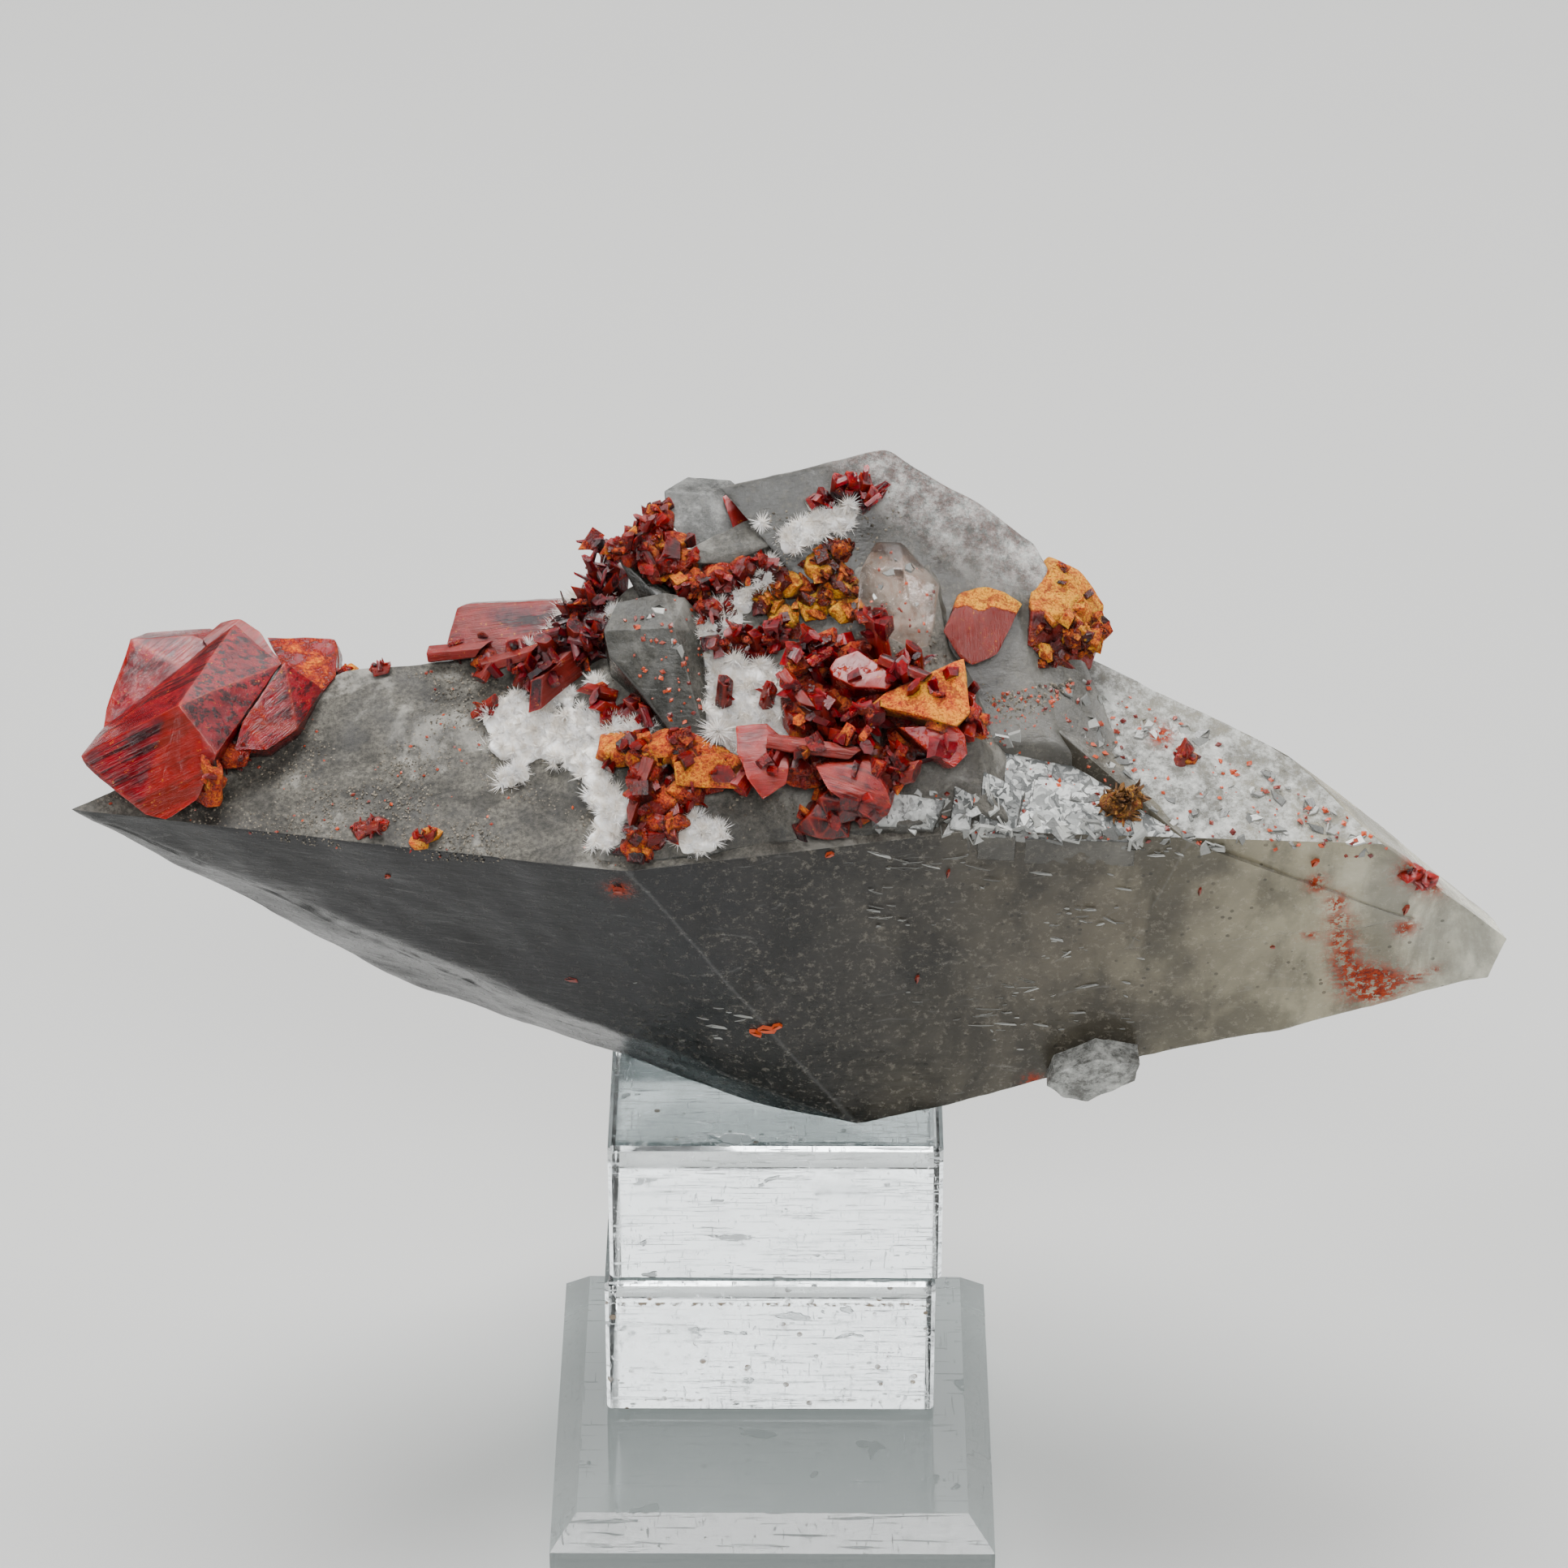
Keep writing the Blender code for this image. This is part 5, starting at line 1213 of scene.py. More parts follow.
def red_band():
    """Dark red crystals and orange plates right of the orange ridge."""
    return lumps([((868, 728, -0.2), 2.2, 0.8, 31), ((890, 716, -0.2), 2.2, 0.8, 32),
                  ((915, 708, -0.2), 2.1, 0.8, 33),
                  ((878, 750, -0.3), 2.2, 0.8, 34)], tone=0.35, powder=0.3) + columns([
        ((872, 735, 0.3), (864, 712, 2.6), 1.2, 1.2, 20), ((895, 728, 0.3), (888, 704, 2.4), 1.3, 1.0, 40),
        ((918, 718, 0.3), (926, 694, 2.4), 1.5, 1.2, 10), ((935, 706, 0.2), (941, 690, 2.2), 1.2, 1.2, 25),
        ((878, 762, 0.2), (869, 744, 2.4), 1.1, 1.1, 50)], 0.5, 0.2)


PATCH_KNOBS = [(945, 738, 2.1), (975, 718, 2.2), (1010, 698, 2.2), (1036, 722, 2.1), (1002, 742, 2.3),
               (966, 762, 2.0), (1044, 750, 1.9), (1030, 676, 1.6)]


def patch_group():
    """Crumbly yellow-orange patch high in the middle."""
    return [lump(seen(px, py, -0.3), size, 0.7, 40 + number, 0.6, 0.5)
            for number, (px, py, size) in enumerate(PATCH_KNOBS)]


def lens_group():
    """Crystals of the right middle: lens, plates, wedge and columns."""
    lens = corners_on([(1022, 823, 4.6), (1030, 811, 4.4), (1057, 801, 4.2), (1080, 818, 4.6),
                       (1109, 833, 4.6),
                       (1093, 848, 5.0), (1052, 846, 5.2), (1027, 833, 5.0)])
    plate = corners_on([(1073, 868, 5.0), (1093, 852, 4.6), (1128, 836, 4.4), (1160, 822, 4.4),
                        (1188, 810, 4.2),
                        (1189, 848, 4.6), (1196, 878, 4.6), (1178, 895, 5.0), (1126, 880, 5.4)])
    wedge = corners_on([(1109, 896, 4.6), (1179, 893, 4.4), (1190, 906, 4.4), (1193, 929, 4.2),
                        (1176, 946, 4.4),
                        (1140, 922, 4.8)])
    return [
        block(lens, (0, 1.6, -2.4)).look(0.55, 0.2, 0.3),
        block(plate, (-0.5, 2.6, -2.6)).look(0.6, 0.46, 0.3),
        block(wedge, (-0.8, 2.6, -1.8)).look(0.6, 0.22, 0.6),
    ] + columns([
        ((1084, 812, 4.2), (1143, 836, 4.4), 1.3, 1.6, 10, 0.1),
        ((1086, 808, 1.4), (1078, 760, 4.0), 2.2, 2.0, 20, 0.5),
        ((966, 828, 4.4), (1001, 874, 5.6), 1.0, 1.1, 15, 0.3),
        ((992, 900, 3.6), (980, 878, 4.6), 1.2, 1.1, 20),
        ((1022, 902, 3.8), (1010, 860, 5.6), 2.0, 1.8, 20, 0.3),
        ((1042, 886, 3.8), (1064, 868, 5.0), 1.4, 1.2, 10, 0.3),
        ((1024, 902, 4.4), (1064, 912, 4.8), 1.1, 1.3, 15), ((985, 830, 1.6), (978, 796, 4.2), 1.7, 1.4, 25),
        ((1005, 832, 1.8), (1000, 778, 3.4), 2.2, 1.4, 15, 0.4),
        ((1030, 820, 1.6), (1010, 800, 4.0), 1.2, 1.2, 40),
        ((1130, 830, 2.0), (1126, 796, 3.8), 1.6, 1.4, 20, 0.4),
        ((1190, 910, 2.4), (1203, 868, 3.4), 1.8, 1.6, 10, 0.4),
        ((1060, 900, 3.0), (1088, 872, 4.6), 1.8, 1.2, 30)], 0.5, 0.12) + lumps([
        ((1000, 850, 0.6), 3.0, 0.8, 51), ((990, 884, 1.4), 2.6, 0.9, 59), ((1035, 870, 0.8), 3.4, 0.8, 52),
        ((1080, 850, 0.8), 3.4, 0.8, 53), ((1120, 870, 0.8), 3.4, 0.8, 54), ((1160, 870, 0.6), 3.2, 0.8, 55),
        ((1120, 905, 0.4), 3.0, 0.8, 56), ((1060, 815, 0.4), 2.6, 0.8, 58)], tone=0.35, powder=0.3)


def front_group():
    """Front band, red blocks and the dark lump that lean out over the front ridge."""
    cube = corners_on([(907, 927, 5.0), (945, 923, 4.8), (972, 946, 5.0), (969, 967, 4.6), (939, 986, 4.2),
                       (920, 958, 5.0)])
    gem = corners_on([(1005, 944, 5.6), (1040, 936, 5.0), (1071, 936, 5.2), (1094, 976, 5.6),
                      (1098, 993, 5.2),
                      (1072, 1010, 5.0), (1055, 978, 6.2), (1020, 974, 6.0)])
    ledge = corners_on([(830, 940, 3.4), (886, 926, 3.4), (922, 972, 3.0), (870, 972, 3.0), (832, 968, 2.6),
                        (850, 930, -1), (900, 960, -1)])
    band = lumps([((px, py, 1.2), 2.3, 0.75, 60 + number) for number, (px, py) in enumerate(
        [(765, 925), (790, 925), (820, 920), (845, 925), (868, 935), (890, 945)])], tone=0.6, powder=0.42)
    return band + [
        block(cube, (0, 2.6, 1.0)).look(0.8, 0.0, 0.4),
        block(gem, (0, 3.0, -0.4), (gem[0], gem[3])).look(0.7, 0.16, 0.9),
        block(ledge).look(0.6, 0.42, 0.3),
    ] + columns([((802, 935, 2.6), (774, 1013, 1.7), 1.1, 1.4, 20),
                 ((946, 914, 4.6), (1058, 930, 5.0), 1.6, 1.8, 10, 0.15),
                 ((1080, 962, 3.2), (1130, 950, 4.2), 2.2, 1.8, 20, 0.3),
                 ((1110, 952, 2.6), (1104, 916, 4.0), 1.6, 1.4, 30, 0.4),
                 ((825, 1000, 0.6), (828, 1034, 1.6), 1.1, 1.1, 15)], 0.35, 0.05) + lumps([
        ((1018, 1008, 1.2), 2.7, 0.9, 71), ((1035, 985, 2.0), 2.8, 0.9, 73),
        ((1070, 985, 1.6), 2.4, 0.9, 74)],
        tone=0.25, powder=0.05) + lumps([
        ((950, 940, 1.8), 2.6, 0.8, 75), ((985, 945, 2.2), 2.7, 0.8, 76), ((1020, 935, 2.4), 2.8, 0.8, 77),
        ((1060, 935, 2.2), 2.8, 0.8, 78), ((1095, 945, 1.2), 2.4, 0.8, 79), ((820, 985, 0.6), 2.3, 0.8, 81),
        ((808, 1010, 0.5), 2.0, 0.8, 82), ((792, 1030, 0.4), 1.9, 0.8, 83), ((780, 1046, 0.3), 1.6, 0.8, 84),
        ((845, 975, 0.8), 2.1, 0.8, 85), ((800, 950, 1.0), 2.2, 0.8, 86)], tone=0.5, powder=0.3)


def row_group():
    """Small dark crystals on the white crust right of the smoky prism."""
    return lumps([((905, 792, -0.6), 2.2, 0.6, 91), ((930, 800, -0.6), 2.0, 0.6, 92),
                  ((952, 788, -0.6), 1.9, 0.6, 93)],
                 tone=0.3, powder=0.2) + columns([
        ((900, 800, 0.2), (876, 792, 2.6), 1.5, 0.9, 30), ((915, 790, 0.2), (900, 776, 2.4), 1.8, 0.8, 15),
        ((935, 800, 0.2), (930, 780, 2.4), 1.2, 1.0, 35), ((950, 800, 0.2), (958, 778, 2.4), 1.1, 1.0, 15),
        ((962, 790, 0.2), (948, 768, 2.2), 1.1, 1.0, 45)], 0.4, 0.05)


def right_low():
    """Left one of the two big powder-topped crystals."""
    left = corners_at([(1162, 778, 2.6), (1179, 736, 5.4), (1209, 722, 6.8), (1229, 722, 7.0),
                       (1259, 747, 5.6),
                       (1246, 774, 3.6), (1229, 806, 1.6), (1198, 820, 0.8), (1184, 812, 1.2),
                       (1240, 748, 5.0),
                       (1182, 750, 4.2)])
    return [block(left, (0.5, 3.5, -1.0), (at(1198, 820, 0.8), at(1192, 750, 4.4))).look(0.2, 0.0, 1.0)]


def right_high():
    """Right one of the two big powder-topped crystals."""
    right = corners_at([(1268, 720, 8.2), (1301, 691, 10.6), (1338, 709, 10.6), (1361, 746, 9.4),
                        (1348, 776, 7.4),
                        (1344, 825, 5.4), (1328, 823, 4.8), (1266, 796, 3.8), (1270, 752, 5.2),
                        (1320, 760, 6.0)])
    low = corners_at([(1272, 800, 3.6), (1300, 804, 3.8), (1332, 828, 4.6), (1290, 822, 3.8), (1276, 775, 6),
                      (1330, 800, 9)])
    return [block(right, (-0.5, 3.5, -1.5), (at(1290, 820, 4.0), at(1300, 720, 8.0))).look(0.55, 0.2, 0.4),
            block(low).look(0.5, 0.3, 0.4),
            prism(at(1322, 806, 5.0), at(1330, 762, 6.4), 1.3, 1.4, 15).look(0.6, 0.1, 0.5),
            prism(at(1340, 806, 5.8), at(1356, 765, 7.8), 1.3, 1.6, 15).look(0.6, 0.0, 0.5)]


def top_group():
    """Small red crystals at the upper crystal's face."""
    return lumps([((1058, 608, -0.5), 1.9, 0.8, 101), ((1035, 615, -0.5), 1.6, 0.7, 102)], tone=0.5,
                 powder=0.3) + columns([
        ((1032, 612, 0.2), (1034, 590, 2.0), 1.5, 1.2, 10),
        ((1050, 610, 0.2), (1051, 588, 2.4), 1.2, 1.2, 20),
        ((1062, 612, 0.2), (1068, 590, 2.6), 1.2, 1.2, 30),
        ((1066, 622, 0.2), (1076, 606, 2.4), 1.0, 1.0, 15),
        ((1022, 622, 0.0), (1004, 612, 1.8), 0.9, 0.9, 15)], 0.55, 0.05)


def garnet_red():
    """Deep red crystal between the pale blade and the upper crystal."""
    corners = corners_at([(889, 612, 14.2), (905, 604, 14.6), (931, 622, 13.6), (922, 645, 12.2),
                          (905, 657, 11.6),
                          (896, 630, 13)])
    return [block(corners, (0.5, 3.5, -2.0), None, [at(915, 670, 12.5)]).look(0.7, 0.0, 0.2)]


def scatter_groups():
    """Single chips that lie apart from the groups, by the node each one stands for."""
    return {
        "crest_chip": [prism(at(458, 827, 11.4), at(480, 822, 11.8), 0.8, 2.0, 10).look(0.4, 0.1, 0.5)],
        "left_face_chips": lumps([((448, 1021, 0.1), 1.3, 0.6, 111), ((464, 1016, 0.2), 1.2, 0.6, 112)], None,
                                 0.3, 0.2)
        + columns([((445, 1024, 0.2), (470, 1016, 1.6), 0.9, 0.9, 15)]),
        "lower_face_chips": lumps([((516, 1037, 0.1), 1.1, 0.6, 113), ((531, 1028, 0.1), 1.2, 0.6, 114)],
                                  None, 0.5, 0.5)
        + columns([((515, 1040, 0.1), (537, 1027, 1.2), 0.8, 0.8, 15)]),
        "shoulder_chips": columns([((1452, 945, -0.3), (1466, 915, 1.4), 1.6, 1.2, 15)])
        + lumps([((1462, 935, -0.2), 1.3, 0.6, 115)], None, 0.5, 0.4),
        "tip_patch": lumps([((1738, 1076, 0.0), 1.4, 0.5, 119), ((1757, 1083, 0.0), 1.5, 0.5, 120)], None,
                           0.6, 0.1),
        "crust_crystal_left": columns([((892, 866, 0.8), (894, 838, 3.4), 1.7, 1.3, 30),
                                       ((944, 868, 1.0), (950, 846, 3.6), 1.5, 1.2, 20)], 0.5),
        "crust_edge_crystal": columns([((586, 884, -0.5), (610, 864, 1.8), 1.4, 1.2, 20)], 0.45),
    }


def crust(places, size, flat, first_seed, sink):
    """White crust: a chain of low knobs along the places seen on the ground."""
    return [lump(seen(px, py, -sink), size * (0.9 + 0.2 * (number % 3) / 2), flat, first_seed + number, 0.5,
                 0.0)
            for number, (px, py) in enumerate(places)]


CRUST_LEFT = [(612, 888), (638, 872), (640, 898), (665, 885), (668, 908), (625, 920), (652, 928), (690, 900),
              (692, 925), (715, 885), (718, 912), (722, 940), (742, 930), (742, 900), (762, 915), (768, 900),
              (740, 958), (748, 985), (752, 1010), (748, 1032), (765, 1000), (790, 905)]
CRUST_EXTRA = [(700, 757), (716, 742), (690, 775), (676, 792), (655, 806), (742, 745), (757, 760), (628, 962),
               (642, 955), (1046, 626), (735, 846), (700, 860), (680, 862)]
CRUST_MIDDLE = [(884, 815), (890, 845), (882, 875), (892, 900), (905, 825), (915, 860), (912, 890),
                (935, 830),
                (940, 865), (935, 895), (958, 845), (960, 875), (970, 900), (905, 915)]
CRUST_STRIP = [(868, 785), (884, 770), (898, 754), (912, 742), (926, 722), (942, 706)]
CRUST_TOP = [(975, 672), (988, 662), (1003, 652), (1022, 644), (1040, 640)]
CRUST_LOW = [(842, 1022), (858, 1020), (866, 1036), (850, 1040), (878, 1026)]


# Quartz

CRACK = face(CRACK_TOP, CRACK_LOW, below(CRACK_TOP), SHOULDER_CORE)
RUST_SPOTS = [(1646, 1112, 0.9), (1650, 1134, 1.0), (1652, 1156, 1.1), (1656, 1178, 1.2), (1664, 1198, 1.2),
              (1680, 1212, 1.9), (1704, 1212, 1.8), (1742, 1074, 1.5), (1766, 1084, 1.4), (1732, 1145, 0.9),
              (1622, 1088, 0.8), (1614, 1150, 0.6), (1430, 905, 1.0), (762, 1098, 0.9), (1205, 1362, 0.7),
              (1240, 1346, 0.7), (1272, 1332, 0.7), (1745, 1205, 0.6), (1765, 1195, 0.5)]


def quartz_paint(dusty=(), dust=0.9, frosty=(), frost=0.9, shattered=()):
    """Rule that gives sand, frost and rust by face and place."""
    spots = [(seen(px, py), size) for px, py, size in RUST_SPOTS]

    def paint(index, points, outward):
        rust = sum(np.exp(-((points - spot) ** 2).sum(1) / size ** 2) for spot, size in spots)
        left_of_crack = CRACK[0] @ points.T - CRACK[1] > -0.5
        broken = np.isin(index, list(shattered))
        level = np.clip((outward[:, 2] - 0.25) / 0.3, 0, 1)
        return {"dust": dust * np.isin(index, list(dusty)), "shatter": level * (broken & left_of_crack),
                "frost": frost * (np.isin(index, list(frosty)) | (broken & ~left_of_crack)),
                "rust": np.clip(rust * 1.6, 0, 1)}
    return paint


UPPER_SKYLINE = face(APEX, UPPER_RIGHT, np.array([22.0, 30.0, 80.0]), UPPER_CORE)


def near(points, plane, width, seed):
    """1 at a plane, falling to 0 over a ragged width inside it."""
    away = plane[1] - points @ plane[0]
    ragged = width * (0.5 + rough_noise(points * 0.35, 3, seed))
    return np.clip(1.3 - away / ragged, 0, 1)


def upper_paint(index, points, outward):
    """Frosty band along the right skyline, thin dust on level faces."""
    band = near(points, UPPER_SKYLINE, 4.5, 11)
    return {"dust": 0.5 * np.clip((outward[:, 2] - 0.7) / 0.2, 0, 1), "frost": 0.06 + 0.94 * band,
            "rust": 0.16 * band, "shatter": 0 * band}


SHOULDER_SKYLINES = (moved(REAR_RIGHT_FACE, 0.6),
                     face(RIM_LEFT, RIM_MIDDLE, RIM_MIDDLE + RIM_SLOPE, SHOULDER_CORE),
                     face(RIM_MIDDLE, RIM_RIGHT, RIM_RIGHT + RIM_SLOPE, SHOULDER_CORE))
SHOULDER_TOP_NUMBER = 0


def shoulder_paint(index, points, outward):
    """Grey top with a pale skyline rim, frostier toward the right tip."""
    plain = quartz_paint()(index, points, outward)
    rim = np.max([near(points, plane, 1.4, 12) for plane in SHOULDER_SKYLINES], axis=0)
    right = np.clip((points[:, 0] - 38) / 14, 0, 1)
    top = index == SHOULDER_TOP_NUMBER
    plain["frost"] = top * np.clip(0.22 + 0.28 * right + 0.9 * rim, 0, 1)
    return plain


def prism_paint(index, points, outward):
    """Dusty, pitted end facets on a smooth column."""
    up = np.clip((outward[:, 2] - 0.35) / 0.25, 0, 1)
    return {"dust": 0.45 * up, "frost": 0.12 * up, "rust": 0 * up, "shatter": 0 * up}


def blade_paint(index, points, outward):
    """Smooth pale face with a brownish top rim."""
    rim = np.clip((points[:, 2] - at(845, 622, 15)[2]) / 1.5, 0, 1)
    return {"dust": 0 * rim, "frost": 0.38 - 0.2 * rim, "rust": 0 * rim, "shatter": 0 * rim}


# Main crystal's colours along X; the pale right end is partly its own yellowish colour and partly painted light
# shining through it.
MAIN_STOPS_AND_PAINTED_GLOW = [(0.0, "#3a3b3a"), (0.12, "#1c1c1e"), (0.44, "#19191b"), (0.56, "#35322d"), (0.72, "#5a5447"),
              (0.88, "#a09980"), (1.0, "#d6d4c2")]
PALE_STOPS = [(0.0, "#464643"), (0.5, "#3c3c39"), (0.62, "#4c4a45"), (1.0, "#8a877c")]
SMOKE_STOPS = [(0.0, "#1f201c"), (0.5, "#272823"), (1.0, "#34342e")]

quartz_main_finish = quartz("quartz main", MAIN_STOPS_AND_PAINTED_GLOW, 0.75, 0.14, 0.12)
quartz_pale_finish = quartz("quartz pale", PALE_STOPS, 0.55, 0.16, 0.18)
quartz_smoke_finish = quartz("quartz smoke", SMOKE_STOPS, 0.6, 0.2, 0.2)
quartz_clear_finish = clear_quartz("quartz clear")

# Numbers of faces in the lists of planes
MAIN_TOP, MAIN_TERRACE = 2, 3
MOUND_SLOPES = (0, 1, 5)
EVERY_FACE = range(40)


def quartz_piece(name, rows, look, sharp):
    """A piece of the quartz. Each row is a body, its step, wear, relief, the relief's size (mm)
    and the rule of its finish."""
    piece = Shape()
    for row in rows:
        add_body(piece, *row)
    make(name, piece, look, "quartz", sharp)


step = corners_at([(1188, 818, 5), (1262, 812, 6), (1330, 822, 8), (1190, 840, 3.4), (1255, 845, 3.2),
                   (1322, 832, 5)])
slab = corners_at([(838, 680, 10), (925, 640, 12), (968, 640, 12), (900, 694, 8.6), (970, 662, 9.2),
                   (850, 694, 9)])
blade = corners_at([(818, 605, 15), (872, 609, 15), (902, 638, 13.5), (905, 656, 12.5), (850, 675, 11.5),
                    (832, 652, 12.5), (820, 632, 14)])
smoky = corners_at([(744, 777, 3), (830, 773, 1.8), (750, 808, 1.8), (793, 856, -0.4), (825, 900, -2.0),
                    (871, 914, -2.6), (760, 742, 6), (818, 730, 6.2), (844, 735, 6.4), (862, 757, 5.8),
                    (867, 776, 4.6)])
fin = corners_at([(757, 681, 11), (764, 684, 11.5), (782, 707, 9.5), (822, 731, 7), (818, 742, 6),
                  (786, 730, 8)])
clear = corners_at([(1079, 669, 7.2), (1110, 668, 7.4), (1156, 720, 4.6), (1153, 758, 3.0), (1143, 796, 1.2),
                    (1124, 800, 0.8), (1056, 766, 1.4), (1059, 703, 4.4), (1112, 700, 3.4), (1120, 740, 1.6)])
flake = corners_at([(1290, 1338, -2.6), (1300, 1322, -3.4), (1352, 1306, -4.2), (1404, 1312, -3.4),
                    (1398, 1332, -2.6), (1340, 1357, -2.2), (1310, 1352, -2.4)])
plates = [corners_on(rows) for rows in (
    [(1074, 1019, 0.3), (1150, 1024, 0.3), (1166, 985, 0.5), (1100, 976, 0.6)],
    [(1205, 1029, 0.3), (1250, 1032, 0.3), (1264, 975, 0.9), (1212, 950, 0.6)],
    [(1264, 1034, 0.3), (1400, 1039, 0.3), (1330, 992, 0.8), (1276, 962, 0.9)],
    [(1170, 1022, 0.2), (1196, 1026, 0.2), (1200, 980, 0.4), (1176, 968, 0.5)])]

smoky_body = block(smoky, (0, 5, -6))
clear_body = block(clear, (0.5, 5, -3))

quartz_piece("quartz_main", [
    (Body(main_crystal()), 0.95, 0.07, 0.6, 9.0, quartz_paint(dusty=(MAIN_TOP,), shattered=(MAIN_TERRACE,)))],
    quartz_main_finish, 32)
quartz_piece("quartz_shoulder", [(Body(shoulder()), 0.8, 0.08, 0.6, 6.0, shoulder_paint)], quartz_main_finish,
             32)
quartz_piece("quartz_upper", [
    (Body(upper_crystal()), 0.8, 0.12, 0.5, 6.0, upper_paint),
    (Body(mound()), 0.8, 0.12, 0.9, 4.0, quartz_paint(dusty=MOUND_SLOPES, dust=0.6))], quartz_pale_finish, 32)
quartz_piece("quartz_chips", [
    (block(step, (0, 3, -7)), 0.4, 0.06, 0.3, 2.5, quartz_paint(frosty=EVERY_FACE, frost=0.45)),
    (block(slab, (1, 6, -8)), 0.4, 0.06, 0.25, 2.5, quartz_paint(dusty=EVERY_FACE, dust=0.5)),
    (block(blade, (2, 3.5, -0.5), None, [at(880, 690, 14)]), 0.4, 0.05, 0.12, 3.0, blade_paint),
    (block(flake, (0, 3, 0.3)), 0.35, 0.02, 0.15, 1.0, quartz_paint(frosty=EVERY_FACE, frost=1.0))] + [
    (block(plate, (0, 1.0, -3.0)), 0.4, 0.04, 0.3, 2.0,
     quartz_paint(shattered=EVERY_FACE)) for plate in plates],
    quartz_pale_finish, 28)
quartz_piece("smoky_prism", [
    (smoky_body, 0.35, 0.03, 0.07, 2.5, prism_paint),
    (block(fin, (0.8, 2.5, -1), None, [at(800, 760, 8)]), 0.35, 0.03, 0.05, 2.5, quartz_paint())],
    quartz_smoke_finish, 28)
quartz_piece("clear_prism", [(clear_body, 0.4, 0.06, 0.12, 3.0, None)], quartz_clear_finish, 28)


# Realgar

YELLOW, ORANGE = tint("#f09412"), tint("#c43c04")
glassy = realgar("realgar glassy", tint("#200004"), tint("#8c0012"), ORANGE, YELLOW, 1.5, 0.05, 0.04, 0.5)
purple = realgar("realgar purple", tint("#140208"), tint("#760212"), ORANGE, YELLOW, 1.5, 0.09, 0.08, 0.3)
crumbly = realgar("realgar crumbly", tint("#180001"), tint("#8a0404"), ORANGE, YELLOW, 2.2, 0.08, 0.12, 0.4)
golden = realgar("realgar golden", tint("#160001"), tint("#640302"), tint("#d05808"), tint("#f4a61c"), 1.8,
                 0.09,
                 0.14, 0.3)


def end_powder(start, end, share, amount, rest=0.0):
    """Rule that lays powder past a share of the way from one point to another."""
    def paint(index, points, outward):
        way = (points - start) @ (end - start) / ((end - start) ** 2).sum()
        way = way + 0.16 * (smooth_noise(points * 0.9, 8) - 0.5)
        return {"powder": rest + (amount - rest) * np.clip((way - share) / 0.08 + 0.5, 0, 1)}
    return paint


CRYSTAL_SHARP = 13
SPRIG_LEAN = (0, -0.5, 0.5)
LONGEST_STEPS = 22        # at most this many steps along a body's longest side


def dress(name, bodies, look, node, slot, step, wear, relief, count=0, seed=1, paint=None, **sprig):
    """A group: its crystals, and small columns standing on their surfaces."""
    group_shape = Shape()
    chance = np.random.default_rng(seed)
    for body in bodies:
        loops = corner_loops(body.planes)
        size = np.ptp(np.concatenate([loop for _, loop in loops]), axis=0).max()
        add_body(group_shape, body, max(step, size / LONGEST_STEPS), wear, relief, 1.6, paint)
    if count:
        for body in bodies:
            points, outward = surface_points(body.planes, max(1, count // len(bodies)), chance, SPRIG_LEAN)
            sprigs(group_shape, points, outward, chance, **sprig)
    make(name, group_shape, look, node, CRYSTAL_SHARP)


dress("realgar_left_crystals", left_group()[:5], glassy, "realgar_left", "realgar_glassy", 0.45, 0.035, 0.12)
dress("realgar_left_crumbs", left_group()[5:], crumbly, "realgar_left", "realgar_glassy", 0.3, 0.05, 0.2, 40,
      2,
      length=(0.6, 1.2), width=(0.6, 1.2), powder=(0.1, 0.35))
dress("realgar_back_crystals", back_group(), purple, "realgar_back", "realgar_glassy", 0.4, 0.05, 0.08, 12, 3,
      length=(0.6, 1.4), width=(0.6, 1.0))
dress("realgar_spiky_crystals", spiky_group(), purple, "realgar_spiky", "realgar_glassy", 0.35, 0.04, 0.04,
      110, 4,
      length=(1.2, 2.6), width=(0.6, 1.2), tone=(0.1, 0.7), spread_out=0.6, sunk=0.35)
dress("realgar_chips_crystals", left_chips(), glassy, "realgar_chips", "realgar_glassy", 0.3, 0.04, 0.04, 14,
      5)
dress("realgar_ridge_crystals", orange_ridge(), crumbly, "realgar_ridge", "realgar_powdered", 0.35, 0.05, 0.3,
      150, 6,
      length=(0.8, 1.9), width=(0.7, 1.6), tone=(0.2, 0.9), powder=(0.0, 0.4))
dress("realgar_band_crystals", red_band(), crumbly, "realgar_band", "realgar_powdered", 0.35, 0.05, 0.2, 80,
      7,
      length=(0.8, 2.0), width=(0.8, 1.7), powder=(0.0, 0.38))
dress("realgar_patch_crystals", patch_group(), golden, "realgar_patch", "realgar_powdered", 0.35, 0.05, 0.4,
      110, 8,
      length=(0.5, 1.2), width=(0.8, 2.0), powder=(0.15, 0.45))
dress("realgar_lens_crystals", lens_group(), glassy, "realgar_middle", "realgar_powdered", 0.38, 0.05, 0.08,
      120, 9,
      length=(1.0, 2.4), width=(1.0, 2.2), powder=(0.0, 0.36))
dress("realgar_front_crystals", front_group(), crumbly, "realgar_middle", "realgar_powdered", 0.38, 0.05,
      0.15, 190, 10,
      length=(0.8, 1.9), width=(0.9, 2.0), powder=(0.05, 0.4))
dress("realgar_row_crystals", row_group(), glassy, "realgar_row", "realgar_glassy", 0.3, 0.04, 0.04, 34, 11)
dress("realgar_right_low_crystal", right_low(), golden, "realgar_right_low", "realgar_powdered", 0.35, 0.06,
      0.15,
      paint=end_powder(at(1205, 815, 1.0), at(1212, 735, 6.0), 0.78, 0.5))
